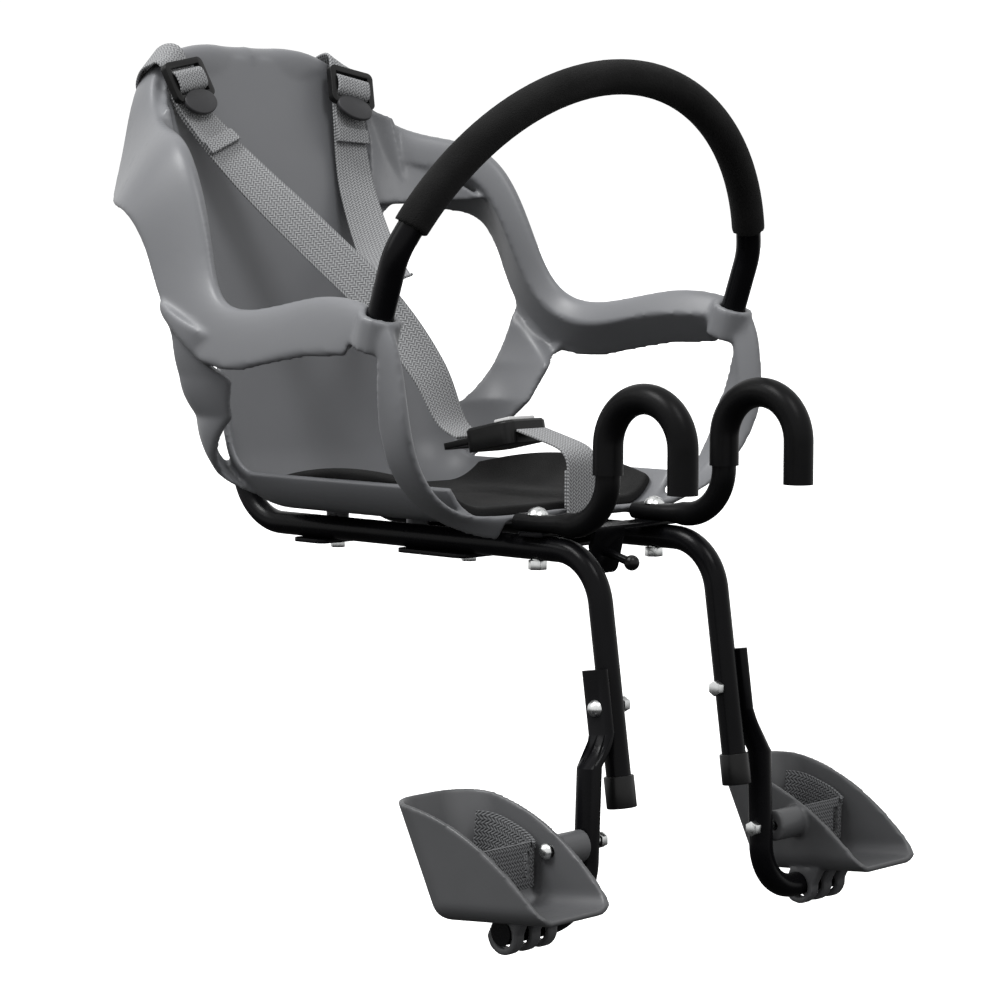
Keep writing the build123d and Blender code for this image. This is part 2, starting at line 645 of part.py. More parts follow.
def seat_bolts():
    """Low-headed bolts from the pan down through bosses, rails and plates."""
    bolts = []
    plate_low = RAIL_Z - TUBE_D / 2 - PLATE_T
    for x in (-SEAT_BOLT_X, SEAT_BOLT_X):
        for y in SEAT_BOLT_Y:
            seat = (x, y, PAN_Z + WALL / 2)
            head = extrude(Plane.XY.offset(seat[2]) * Pos(x, y) * RegularPolygon(M5, 6), amount=0.5 * M5)
            bolts.append((rod(seat, (x, y, plate_low), M5) + head).solid())
    return Compound(children=bolts)


def seat_nuts():
    """Nuts under the plates on the seat bolts."""
    z = RAIL_Z - TUBE_D / 2 - PLATE_T
    spots = [(x, y, z) for x in (-SEAT_BOLT_X, SEAT_BOLT_X) for y in SEAT_BOLT_Y]
    return Compound(children=[cap_nut(spot, (0, 0, -1), M5).solid() for spot in spots])


def arm_bolts():
    """Domed bolts from outside through arm and leg."""
    seat = (FLAT_X + ARM_FLAT_T / 2, leg_y(ARM_BOLT_Z), ARM_BOLT_Z)
    length = seat[0] - (RAIL_X - TUBE_D / 2)
    return both_sides(dome_bolt(seat, (-1, 0, 0), M5, length, 2 * M5, 0.7 * M5))


def arm_nuts():
    """Nuts on the inner side of the legs."""
    return both_sides(cap_nut((RAIL_X - TUBE_D / 2, leg_y(ARM_BOLT_Z), ARM_BOLT_Z), (-1, 0, 0), M5))


def tray_bolts():
    """Domed bolts from inside the footrests through boss and arm."""
    seat = (TRAY_X - TRAY_W / 2 + TRAY_WALL, leg_y(ARM_ROUND_Z), TRAY_BOLT_Z)
    length = seat[0] - (ARM_OUT_X - TUBE_D / 2)
    return both_sides(dome_bolt(seat, (-1, 0, 0), M5, length, 1.8 * M5, 0.6 * M5))


def tray_nuts():
    """Nuts on the inner side of the arms."""
    seat = (ARM_OUT_X - TUBE_D / 2, leg_y(ARM_ROUND_Z), TRAY_BOLT_Z)
    return both_sides(cap_nut(seat, (-1, 0, 0), M5))


# Harness

def webbing(plane, points, radii):
    """Flat band bent along points in a plane, its width square to that plane."""
    path = plane * FilletPolyline(*points, radius=radii)
    start = Plane(origin=path @ 0, x_dir=plane.z_dir, z_dir=path % 0)
    return sweep(start * Rectangle(WEB_W, WEB_T), path=path)


# Each webbing station is a middle point and the way the webbing's width runs.
# The shoulder run goes from behind the back over the rim; the free runs go on from its end.
SHOULDER_RUN = [
    ((44, 370.6, 180), (1, 0, 0)),
    ((53, 388, 197), (1, -0.1, -0.2)),
    ((71, 400, 214), (0.8, -0.3, -0.6)),
    ((77, 389, 227.5), (0.8, -0.3, -0.6)),
    ((74.5, 372, 229), (0.8, -0.3, -0.5)),
    ((69, 362, 209), (1, -0.1, -0.1)),
    ((65, 357, 190), (1, 0, 0)),
]
RIGHT_RUN = [
    ((-65, 357, 190), (1, 0, 0)),
    ((-50, 326, 154), (0.85, -0.25, 0.3)),
    ((-33, 284, 114), (0.65, -0.4, 0.6)),
    ((-18, 242, 75), (0.65, -0.4, 0.6)),
    ((-7, 212, 36), (0.85, -0.2, 0.3)),
    ((-1, 197, 4), (1, 0, 0)),
    ((0, 182, -4.4), (1, 0, 0)),
]
LEFT_RUN = [
    ((65, 357, 190), (1, 0, 0)),
    ((60, 344, 148), (0.95, -0.3, 0)),
    ((46, 312, 108), (0.8, -0.55, 0.1)),
    ((22, 274, 90), (0.75, -0.6, 0.2)),
    ((-6, 241, 87), (0.7, -0.5, 0.4)),
]


def band_frame(run, i):
    """Plane of one webbing station: local x across the width, local z along the webbing."""
    here = Vector(*run[i][0])
    ahead = Vector(*run[min(i + 1, len(run) - 1)][0]) - here
    behind = here - Vector(*run[max(i - 1, 0)][0])
    along = (ahead.normalized() if ahead.length else ahead) + (behind.normalized() if behind.length else behind)
    along = along.normalized()
    wide = Vector(*run[i][1])
    wide = wide - along * wide.dot(along)
    return Plane(origin=here, x_dir=wide, z_dir=along)


def free_band(run):
    """Flat webbing lofted through its stations."""
    sections = [(band_frame(run, i) * Rectangle(WEB_W, WEB_T)).face() for i in range(len(run))]
    return loft(sections[::-1], ruled=True).solid()


def right_shoulder_strap():
    """Webbing from the right shoulder down to the buckle."""
    over = [((-x, y, z), (wx, -wy, -wz)) for (x, y, z), (wx, wy, wz) in SHOULDER_RUN]
    return free_band(over + RIGHT_RUN[1:])


def left_shoulder_strap():
    """Webbing from the left shoulder across to the ring."""
    return free_band(SHOULDER_RUN + LEFT_RUN[1:])


def left_adjuster():
    """Ladder buckle lying on the webbing just below the shoulder."""
    web = band_frame(SHOULDER_RUN, len(SHOULDER_RUN) - 2)
    ahead = -web.y_dir if web.y_dir.Y > 0 else web.y_dir
    plane = Plane(origin=web.origin + ahead * (WEB_T / 2 + 3 * SLACK), x_dir=web.x_dir, z_dir=ahead)
    slot = Rectangle(WEB_W + 2 * SLACK, 5)
    blank = RectangleRounded(ADJUSTER_W, ADJUSTER_L, 4)
    blank -= Pos(0, ADJUSTER_L / 4) * slot
    blank -= Pos(0, -ADJUSTER_L / 4) * slot
    return extrude(plane * blank, amount=ADJUSTER_T)


def strap_ring():
    """Wire loop around the right webbing that carries the left one."""
    half_w, half_h = WEB_W / 2 + RING_D, WEB_T / 2 + RING_D / 2 + 2 * SLACK
    loop = RectangleRounded(2 * half_w, 2 * half_h, 0.8 * half_h).wire()
    path = band_frame(RIGHT_RUN, len(RIGHT_RUN) // 2) * loop
    section = Plane(origin=path @ 0, z_dir=path % 0) * Ellipse(RING_D / 2, RING_D / 2 - OUT_OF_ROUND)
    return sweep(section, path=path)


BUCKLE = Plane(
    origin=(0, BUCKLE_Y, BUCKLE_Z),
    x_dir=(1, 0, 0),
    z_dir=(0, sin(radians(BUCKLE_PITCH)), cos(radians(BUCKLE_PITCH))),
)
BUTTON_FLOOR = TONGUE_T / 2 + 1.2
BUTTON_LOW = BUTTON_FLOOR + BUTTON_TRAVEL + SLACK


def buckle_body():
    """Buckle housing with a mouth for the tongue and a well for the button."""
    half_t = BUCKLE_T / 2
    body = extrude(BUCKLE.offset(-half_t) * RectangleRounded(BUCKLE_W, BUCKLE_L, 7), BUCKLE_T)
    body = chamfer(body.faces().sort_by(Axis.Z)[-1].edges(), 1.5)
    mouth = Box(TONGUE_W + 2 * SLACK, TONGUE_IN + SLACK, TONGUE_T + 2 * SLACK)
    body -= BUCKLE * Pos(0, BUCKLE_L / 2 - (TONGUE_IN + SLACK) / 2 + 0.01) * mouth
    well = Rectangle(BUTTON_W + 2 * SLACK, BUTTON_L + 2 * SLACK)
    return body - extrude(BUCKLE.offset(BUTTON_FLOOR) * Pos(0, -8) * well, amount=BUCKLE_T)


def buckle_tongue():
    """Tongue in the buckle with a slot for the webbing."""
    length = TONGUE_IN + TONGUE_OUT
    middle = BUCKLE_L / 2 - TONGUE_IN + length / 2
    blank = RectangleRounded(TONGUE_W, length, 4)
    blank -= Pos(0, length / 2 - 7) * Rectangle(TONGUE_W - 8, 5)
    return extrude(BUCKLE.offset(-TONGUE_T / 2) * Pos(0, middle) * blank, amount=TONGUE_T)


def release_button():
    """Press button in the buckle's well."""
    face = Rectangle(BUTTON_W, BUTTON_L)
    return extrude(BUCKLE.offset(BUTTON_LOW) * Pos(0, -8) * face, amount=BUTTON_T)


def crotch_strap():
    """Webbing from under the pan, round the lip and up to the buckle."""
    view = side_view(0)
    under = PAN_Z - WALL / 2 - WEB_T / 2 - SLACK
    front = LIP_Y - 4.5
    nose = BUCKLE.from_local_coords((0, -BUCKLE_L / 2 - 1, 0))
    points = [
        (LIP_Y + 32, under),
        (front, under),
        (front, LIP_Z + 17),
        (LIP_Y + 12, nose.Z - 9),
        (nose.Y, nose.Z),
    ]
    return webbing(view, points, [3, 10, 10])


def left_foot_strap():
    """Band standing on edge across the footrest, curved round the toe."""
    w, wide = FOOT_BAND_HALF_W, TRAY_W / 2 - TRAY_WALL - 2.2
    plane = Plane(origin=(TRAY_X, 0, FOOT_BAND_Z))
    points = [(-wide, 54), (-w, 40), (-w, FOOT_BAND_TOE_Y), (w, FOOT_BAND_TOE_Y), (w, 40), (wide, 54)]
    return webbing(plane, points, [10, w - 1, w - 1, 10])


def main():
    os.makedirs("parts", exist_ok=True)
    hook, cap, arm, tray = right_hook(), right_leg_cap(), left_arm(), left_footrest()
    band, lock = left_foot_strap(), left_adjuster()
    nodes = {
        "base_frame": base_frame(),
        "right_hook": hook,
        "left_hook": mirror(hook, Plane.YZ),
        "front_plate": cross_plate(FRONT_PLATE_Y, FRONT_PLATE_L, SEAT_BOLT_Y[:1]),
        "rear_plate": cross_plate(REAR_PLATE_Y, REAR_PLATE_L, SEAT_BOLT_Y[1:]),
        "stop_bracket": stop_bracket(),
        "stop_rod": stop_rod(),
        "stop_ball": stop_ball(),
        "right_leg_cap": cap,
        "left_leg_cap": mirror(cap, Plane.YZ),
        "seat_shell": seat_shell(),
        "seat_pad": seat_pad(),
        "grab_hoop": grab_hoop(),
        "foam_grip": foam_grip(),
        "left_arm": arm,
        "right_arm": mirror(arm, Plane.YZ),
        "left_footrest": tray,
        "right_footrest": mirror(tray, Plane.YZ),
        "hook_bolts": hook_bolts(),
        "hook_nuts": hook_nuts(),
        "seat_bolts": seat_bolts(),
        "seat_nuts": seat_nuts(),
        "arm_bolts": arm_bolts(),
        "arm_nuts": arm_nuts(),
        "tray_bolts": tray_bolts(),
        "tray_nuts": tray_nuts(),
        "right_shoulder_strap": right_shoulder_strap(),
        "left_shoulder_strap": left_shoulder_strap(),
        "left_adjuster": lock,
        "right_adjuster": mirror(lock, Plane.YZ),
        "strap_ring": strap_ring(),
        "buckle_body": buckle_body(),
        "buckle_tongue": buckle_tongue(),
        "release_button": release_button(),
        "crotch_strap": crotch_strap(),
        "left_foot_strap": band,
        "right_foot_strap": mirror(band, Plane.YZ),
    }
    for name, shape in nodes.items():
        export_step(shape, f"parts/{name}.step")


if __name__ == "__main__":
    main()
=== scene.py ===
"""Dresses a child's handlebar seat: smooth mouldings, tubes, webbing, pad, buckle and finishes."""

import json
import logging
import math
from bisect import bisect_left
from collections.abc import Callable
from dataclasses import dataclass, field
from enum import Enum

import bpy
from mathutils import Matrix, Vector

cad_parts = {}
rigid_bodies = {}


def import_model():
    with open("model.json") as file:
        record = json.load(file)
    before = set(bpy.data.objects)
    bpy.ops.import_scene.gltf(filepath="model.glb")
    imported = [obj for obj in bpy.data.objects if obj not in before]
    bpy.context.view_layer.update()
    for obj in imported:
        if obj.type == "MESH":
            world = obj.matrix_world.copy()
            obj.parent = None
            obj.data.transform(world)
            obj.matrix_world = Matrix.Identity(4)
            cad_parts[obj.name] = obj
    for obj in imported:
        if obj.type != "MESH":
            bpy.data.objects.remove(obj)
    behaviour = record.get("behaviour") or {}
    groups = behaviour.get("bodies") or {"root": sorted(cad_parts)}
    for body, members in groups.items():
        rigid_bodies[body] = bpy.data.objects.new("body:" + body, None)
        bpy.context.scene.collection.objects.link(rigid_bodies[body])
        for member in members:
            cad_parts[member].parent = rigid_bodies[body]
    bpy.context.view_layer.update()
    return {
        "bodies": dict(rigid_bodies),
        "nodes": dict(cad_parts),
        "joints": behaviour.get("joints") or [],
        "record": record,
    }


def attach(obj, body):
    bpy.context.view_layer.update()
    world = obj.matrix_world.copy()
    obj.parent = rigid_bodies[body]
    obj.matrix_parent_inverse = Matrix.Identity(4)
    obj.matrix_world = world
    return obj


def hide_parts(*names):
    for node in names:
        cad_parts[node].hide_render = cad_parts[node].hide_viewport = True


LOG = logging.getLogger("handlebar_seat")

# Where the hoop stands in its sockets, in millimetres and degrees
HOOP_X = 150
HOOP_BASE_Y = 103
HOOP_BASE_Z = 72
HOOP_LEAN = 19.1
SOCKET_REACH = 13.5
SOCKET_KEPT = 14
SOCKET_DRAW = 0.75

Colour = tuple[float, float, float]
Station = tuple[tuple[float, float, float], tuple[float, float, float]]
Reshape = Callable[[Vector], Vector]


class Pattern(Enum):
    """Surface pattern that a finish shows."""

    GRAIN = "moulded_grain"
    PEEL = "paint_peel"
    CELLS = "foam_cells"
    BRUSH = "plating_streaks"
    WEAVE = "webbing_weave"


# Scene tools

def deselect() -> None:
    """Leaves edit mode and clears the selection."""
    if bpy.context.object and bpy.context.object.mode != "OBJECT":
        bpy.ops.object.mode_set(mode="OBJECT")
    bpy.ops.object.select_all(action="DESELECT")


def pick(piece: bpy.types.Object) -> None:
    """Makes one piece the only selected and active object."""
    deselect()
    piece.select_set(True)
    bpy.context.view_layer.objects.active = piece


def apply_modifiers(piece: bpy.types.Object) -> None:
    """Applies every modifier of a piece in order."""
    pick(piece)
    for modifier in list(piece.modifiers):
        bpy.ops.object.modifier_apply(modifier=modifier.name)


def settle(piece: bpy.types.Object) -> None:
    """Puts a piece's place, turn and scale into its mesh."""
    pick(piece)
    bpy.ops.object.transform_apply(location=True, rotation=True, scale=True)


def smooth(piece: bpy.types.Object, degrees: float = 32.0) -> None:
    """Smooth shading up to an angle between faces."""
    pick(piece)
    bpy.ops.object.shade_smooth_by_angle(angle=math.radians(degrees))


def node_copy(frame: dict, node: str, name: str) -> bpy.types.Object:
    """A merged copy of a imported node's mesh as a new piece.

    Args:
        frame: what the frame loader gave.
        node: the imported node.
        name: the new piece's name.

    Returns:
        The new object at the origin.
    """
    mesh = frame["nodes"][node].data.copy()
    mesh.name = name
    mesh.materials.clear()
    piece = bpy.data.objects.new(name, mesh)
    bpy.context.scene.collection.objects.link(piece)
    pick(piece)
    if mesh.has_custom_normals:
        bpy.ops.mesh.customdata_custom_splitnormals_clear()
    bpy.ops.object.mode_set(mode="EDIT")
    bpy.ops.mesh.select_all(action="SELECT")
    bpy.ops.mesh.remove_doubles(threshold=0.00002)
    bpy.ops.object.mode_set(mode="OBJECT")
    return piece


def side_of(x: float) -> float:
    """1 on the left side of the seat, -1 on the right."""
    return 1.0 if x > 0 else -1.0


def ease(low: float, high: float, value: float) -> float:
    """Smooth step from 0 at low to 1 at high."""
    t = min(max((value - low) / (high - low), 0.0), 1.0)
    return t * t * (3 - 2 * t)


def reshaped(piece: bpy.types.Object, reshape: Reshape | None) -> None:
    """Moves a piece's vertices, given and taken in millimetres."""
    if reshape:
        for vertex in piece.data.vertices:
            vertex.co = reshape(vertex.co * 1000) / 1000


def finish_piece(
    piece: bpy.types.Object, material: bpy.types.Material, slot: str, body: str, *nodes: str
) -> None:
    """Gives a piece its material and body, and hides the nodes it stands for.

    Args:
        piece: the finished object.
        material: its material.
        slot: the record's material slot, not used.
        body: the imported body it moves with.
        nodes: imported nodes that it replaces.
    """
    piece.data.materials.clear()
    piece.data.materials.append(material)
    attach(piece, body)
    if nodes:
        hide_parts(*nodes)
    LOG.info("%s: %d faces", piece.name, len(piece.data.polygons))


# Node groups

def new_group(name: str, inputs: dict[str, float], outputs: list[str]) -> bpy.types.NodeTree:
    """A shader node group with float inputs and outputs.

    Args:
        name: the group's name.
        inputs: input names and their default values.
        outputs: output names.

    Returns:
        The group with its input and output nodes.
    """
    group = bpy.data.node_groups.new(name, "ShaderNodeTree")
    group.interface.new_socket("Vector", in_out="INPUT", socket_type="NodeSocketVector")
    for key, value in inputs.items():
        socket = group.interface.new_socket(key, in_out="INPUT", socket_type="NodeSocketFloat")
        socket.default_value = value
    for key in outputs:
        group.interface.new_socket(key, in_out="OUTPUT", socket_type="NodeSocketFloat")
    group.nodes.new("NodeGroupInput").name = "in"
    group.nodes.new("NodeGroupOutput").name = "out"
    return group


def add_node(
    tree: bpy.types.NodeTree, kind: str, links: dict | None = None, **values: object
) -> bpy.types.Node:
    """Adds a node, sets its properties and links its inputs.

    Args:
        tree: the node tree.
        kind: the node's type.
        links: input name or index to an output socket or a constant.
        values: properties of the node.

    Returns:
        The new node.
    """
    node = tree.nodes.new(kind)
    for key, value in values.items():
        setattr(node, key, value)
    for key, source in (links or {}).items():
        if isinstance(source, bpy.types.NodeSocket):
            tree.links.new(source, node.inputs[key])
        else:
            node.inputs[key].default_value = source
    return node


def maths(tree: bpy.types.NodeTree, operation: str, a: object, b: object = 0.0) -> bpy.types.NodeSocket:
    """One math node's output."""
    return add_node(tree, "ShaderNodeMath", {0: a, 1: b}, operation=operation).outputs[0]


def noise(
    tree: bpy.types.NodeTree, vector: object, scale: object, detail: float, roughness: float = 0.5
) -> bpy.types.NodeSocket:
    """One noise texture's value."""
    links = {"Vector": vector, "Scale": scale, "Detail": detail, "Roughness": roughness}
    return add_node(tree, "ShaderNodeTexNoise", links).outputs[0]


@dataclass
class PatternGroups:
    """Shared surface patterns as shader node groups."""

    made: dict[Pattern, bpy.types.NodeTree] = field(default_factory=dict)

    def get(self, pattern: Pattern) -> bpy.types.NodeTree:
        """The group of one pattern, built on its first use."""
        if pattern not in self.made:
            build = {
                Pattern.WEAVE: self.weave,
                Pattern.CELLS: self.cells,
                Pattern.BRUSH: self.streaks,
            }.get(pattern, self.grain)
            self.made[pattern] = build(pattern.value)
        return self.made[pattern]

    @staticmethod
    def grain(name: str) -> bpy.types.NodeTree:
        """Fine moulded or painted texture with broad tone and scuffs."""
        tree = new_group(name, {"Fine": 900.0, "Broad": 9.0}, ["Height", "Tone", "Scuff"])
        source, out = tree.nodes["in"].outputs, tree.nodes["out"].inputs
        fine = noise(tree, source["Vector"], source["Fine"], 4.0)
        broad = noise(tree, source["Vector"], source["Broad"], 3.0)
        mid = maths(tree, "MULTIPLY", source["Broad"], 9.0)
        rub = noise(tree, source["Vector"], mid, 6.0, 0.7)
        scuff = add_node(tree, "ShaderNodeMapRange", {"Value": rub, "From Min": 0.55, "From Max": 0.75})
        tree.links.new(fine, out["Height"])
        tree.links.new(broad, out["Tone"])
        tree.links.new(scuff.outputs[0], out["Scuff"])
        return tree

    @staticmethod
    def cells(name: str) -> bpy.types.NodeTree:
        """Open cells of foam."""
        tree = new_group(name, {"Fine": 900.0, "Broad": 25.0}, ["Height", "Tone", "Scuff"])
        source, out = tree.nodes["in"].outputs, tree.nodes["out"].inputs
        cell = add_node(tree, "ShaderNodeTexVoronoi", {"Vector": source["Vector"], "Scale": source["Fine"]})
        broad = noise(tree, source["Vector"], source["Broad"], 5.0)
        tree.links.new(cell.outputs["Distance"], out["Height"])
        tree.links.new(broad, out["Tone"])
        tree.links.new(cell.outputs["Distance"], out["Scuff"])
        return tree

    @staticmethod
    def streaks(name: str) -> bpy.types.NodeTree:
        """Fine streaks and clouding of bright plating."""
        tree = new_group(name, {"Fine": 700.0, "Broad": 120.0}, ["Height", "Tone", "Scuff"])
        source, out = tree.nodes["in"].outputs, tree.nodes["out"].inputs
        drawn = add_node(tree, "ShaderNodeMapping", {"Vector": source["Vector"], "Scale": (1.0, 1.0, 0.08)})
        fine = noise(tree, drawn.outputs[0], source["Fine"], 3.0)
        broad = noise(tree, source["Vector"], source["Broad"], 4.0)
        tree.links.new(fine, out["Height"])
        tree.links.new(broad, out["Tone"])
        tree.links.new(fine, out["Scuff"])
        return tree

    @staticmethod
    def weave(name: str) -> bpy.types.NodeTree:
        """Herringbone weave: local x counts ribs across, local y runs along in metres."""
        tree = new_group(name, {"Fine": 12.0, "Broad": 620.0}, ["Height", "Tone", "Scuff"])
        source, out = tree.nodes["in"].outputs, tree.nodes["out"].inputs
        part = add_node(tree, "ShaderNodeSeparateXYZ", {0: source["Vector"]})
        across = maths(tree, "MULTIPLY", part.outputs[0], source["Fine"])
        rib = maths(tree, "PINGPONG", across, 1.0)
        along = maths(tree, "MULTIPLY", part.outputs[1], source["Broad"])
        slant = maths(tree, "ADD", along, maths(tree, "MULTIPLY", rib, 1.1))
        yarn = maths(tree, "SINE", maths(tree, "MULTIPLY", slant, math.tau))
        ridge = maths(tree, "SINE", maths(tree, "MULTIPLY", across, math.tau))
        height = maths(tree, "ADD", maths(tree, "MULTIPLY", yarn, 0.34), maths(tree, "MULTIPLY", ridge, 0.16))
        fuzz = noise(tree, source["Vector"], 160.0, 6.0, 0.8)
        tree.links.new(maths(tree, "ADD", height, maths(tree, "MULTIPLY", fuzz, 0.5)), out["Height"])
        tree.links.new(fuzz, out["Tone"])
        tree.links.new(maths(tree, "MULTIPLY_ADD", height, 0.8), out["Scuff"])
        return tree


@dataclass(frozen=True)
class Finish:
    """One finish: its colour, gloss and surface pattern."""

    name: str
    dark: Colour
    light: Colour
    roughness: tuple[float, float]
    pattern: Pattern
    fine: float
    broad: float
    bump: float
    depth: float
    metallic: float = 0.0
    coat: float = 0.0
    sheen: float = 0.0
    specular: float = 0.5

    def build(self, groups: PatternGroups) -> bpy.types.Material:
        """The finish as a node material.

        Args:
            groups: the shared pattern groups.

        Returns:
            The material.
        """
        material = bpy.data.materials.new(self.name)
        material.use_nodes = True
        tree = material.node_tree
        shader = tree.nodes["Principled BSDF"]
        shader.inputs["Metallic"].default_value = self.metallic
        shader.inputs["Coat Weight"].default_value = self.coat
        shader.inputs["Coat Roughness"].default_value = 0.15
        shader.inputs["Sheen Weight"].default_value = self.sheen
        shader.inputs["Sheen Roughness"].default_value = 0.5
        shader.inputs["Specular IOR Level"].default_value = self.specular
        place = add_node(tree, "ShaderNodeTexCoord")
        vector = place.outputs["UV" if self.pattern is Pattern.WEAVE else "Object"]
        surface = add_node(tree, "ShaderNodeGroup", node_tree=groups.get(self.pattern))
        tree.links.new(vector, surface.inputs["Vector"])
        surface.inputs["Fine"].default_value = self.fine
        surface.inputs["Broad"].default_value = self.broad
        blend = add_node(
            tree,
            "ShaderNodeMapRange",
            {"Value": surface.outputs["Tone"], "From Min": 0.3, "From Max": 0.7},
        )
        # For the weave the colour follows the weave's height: painted shade in the hollows between yarns,
        # painted light on the ridges.
        if self.pattern is Pattern.WEAVE:
            mixed = maths(tree, "ADD", maths(tree, "MULTIPLY", surface.outputs["Height"], 0.9), 0.3)
            blend = add_node(tree, "ShaderNodeMapRange", {"Value": mixed, "From Min": 0.1, "From Max": 1.1})
        colour = add_node(
            tree,
            "ShaderNodeMix",
            {0: blend.outputs[0], 6: (*self.dark, 1.0), 7: (*self.light, 1.0)},
            data_type="RGBA",
        )
        gloss = add_node(
            tree,
            "ShaderNodeMapRange",
            {"Value": surface.outputs["Scuff"], "To Min": self.roughness[0], "To Max": self.roughness[1]},
        )
        relief = add_node(
            tree,
            "ShaderNodeBump",
            {"Height": surface.outputs["Height"], "Strength": self.bump, "Distance": self.depth},
        )
        tree.links.new(colour.outputs[2], shader.inputs["Base Color"])
        tree.links.new(gloss.outputs[0], shader.inputs["Roughness"])
        tree.links.new(relief.outputs[0], shader.inputs["Normal"])
        return material


class Palette:
    """Every finish of the seat, built once."""

    def __init__(self) -> None:
        """Builds the materials."""
        groups = PatternGroups()
        finishes = [
            Finish(
                "satin_grey_plastic", (0.120, 0.123, 0.130), (0.135, 0.138, 0.145), (0.40, 0.50),
                Pattern.GRAIN, 1400, 8, 0.08, 0.0003, specular=0.3,
            ),
            Finish(
                "footrest_plastic", (0.055, 0.056, 0.058), (0.066, 0.067, 0.070), (0.40, 0.50),
                Pattern.GRAIN, 1300, 14, 0.10, 0.0003, specular=0.3,
            ),
            Finish(
                "black_powder_coat", (0.0020, 0.0020, 0.0024), (0.0040, 0.0040, 0.0046), (0.24, 0.36),
                Pattern.PEEL, 420, 20, 0.10, 0.0004, specular=0.07,
            ),
            Finish(
                "black_dipped_coat", (0.0022, 0.0022, 0.0024), (0.0045, 0.0045, 0.0048), (0.34, 0.46),
                Pattern.PEEL, 300, 26, 0.10, 0.0004, specular=0.07,
            ),
            Finish(
                "black_foam", (0.0045, 0.0045, 0.0045), (0.0090, 0.0090, 0.0090), (0.78, 0.96),
                Pattern.CELLS, 1500, 40, 0.45, 0.0006, sheen=0.03, specular=0.06,
            ),
            Finish(
                "pad_foam", (0.0080, 0.0080, 0.0080), (0.0150, 0.0150, 0.0150), (0.66, 0.86),
                Pattern.CELLS, 1100, 30, 0.35, 0.0006, sheen=0.02, specular=0.08,
            ),
            Finish(
                "bright_zinc", (0.52, 0.53, 0.53), (0.72, 0.73, 0.72), (0.18, 0.34),
                Pattern.BRUSH, 900, 200, 0.12, 0.0002, metallic=1.0,
            ),
            # In both webbing finishes the dark colour is painted shade in the weave's hollows and the light
            # colour is painted light on its ridges.
            Finish(
                "grey_webbing", (0.085, 0.087, 0.090), (0.330, 0.334, 0.340), (0.75, 0.92),
                Pattern.WEAVE, 11, 480, 0.7, 0.0006, sheen=0.1, specular=0.1,
            ),
            Finish(
                "foot_webbing", (0.016, 0.016, 0.017), (0.180, 0.184, 0.190), (0.7, 0.9),
                Pattern.WEAVE, 11, 480, 0.8, 0.0006, sheen=0.05, specular=0.1,
            ),
            Finish(
                "hardware_plastic", (0.0035, 0.0035, 0.0035), (0.0070, 0.0070, 0.0072), (0.30, 0.44),
                Pattern.GRAIN, 1600, 30, 0.10, 0.0003, specular=0.2,
            ),
            Finish(
                "thumb_plastic", (0.020, 0.020, 0.021), (0.030, 0.030, 0.032), (0.42, 0.55),
                Pattern.GRAIN, 1600, 30, 0.10, 0.0003, specular=0.2,
            ),
            Finish(
                "button_plastic", (0.42, 0.42, 0.42), (0.50, 0.50, 0.50), (0.34, 0.44),
                Pattern.GRAIN, 1600, 30, 0.08, 0.0002, specular=0.3,
            ),
            Finish(
                "pale_paper", (0.97, 0.97, 0.97), (0.99, 0.99, 0.99), (0.86, 0.96),
                Pattern.GRAIN, 300, 3, 0.05, 0.0003, specular=0.05,
            ),
        ]
        self.materials = {finish.name: finish.build(groups) for finish in finishes}

    def __getitem__(self, name: str) -> bpy.types.Material:
        """One material by its name."""
        return self.materials[name]


# Rigid pieces

@dataclass
class Moulding:
    """A moulded plastic or foam piece: its packed form with rounded edges."""

    node: str
    name: str
    finish: str
    slot: str
    voxel: float = 0.002
    passes: int = 4
    limit: int = 190000
    reshape: Reshape | None = None

    def form(self, frame: dict) -> bpy.types.Object:
        """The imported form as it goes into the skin.

        Args:
            frame: what the frame loader gave.

        Returns:
            The new piece.
        """
        piece = node_copy(frame, self.node, self.name)
        reshaped(piece, self.reshape)
        return piece

    def build(self, frame: dict, palette: Palette) -> bpy.types.Object:
        """Remeshes, smooths and dresses the piece.

        Args:
            frame: what the frame loader gave.
            palette: the materials.

        Returns:
            The finished piece.
        """
        piece = self.form(frame)
        remesh = piece.modifiers.new("skin", "REMESH")
        remesh.mode = "VOXEL"
        remesh.voxel_size = self.voxel
        remesh.adaptivity = 0.0
        soften = piece.modifiers.new("soften", "SMOOTH")
        soften.factor = 0.5
        soften.iterations = self.passes
        apply_modifiers(piece)
        triangles = 2 * len(piece.data.polygons)
        if triangles > self.limit:
            thin = piece.modifiers.new("thin", "DECIMATE")
            thin.ratio = self.limit / triangles
            apply_modifiers(piece)
        pick(piece)
        bpy.ops.object.shade_smooth()
        finish_piece(piece, palette[self.finish], self.slot, "seat", self.node)
        return piece


def shortened(p: Vector) -> Vector:
    """Draws a socket's lower end, or the hoop's end in it, up under the armrest."""
    lean = math.radians(HOOP_LEAN)
    axis = Vector((0, -math.sin(lean), math.cos(lean)))
    from_base = Vector((0, p.y - HOOP_BASE_Y, p.z - HOOP_BASE_Z))
    depth = from_base.dot(axis)
    aside = math.hypot(abs(p.x) - HOOP_X, (from_base - axis * depth).length)
    if depth < -SOCKET_KEPT and aside < SOCKET_REACH:
        return p - axis * ((depth + SOCKET_KEPT) * SOCKET_DRAW)
    return p


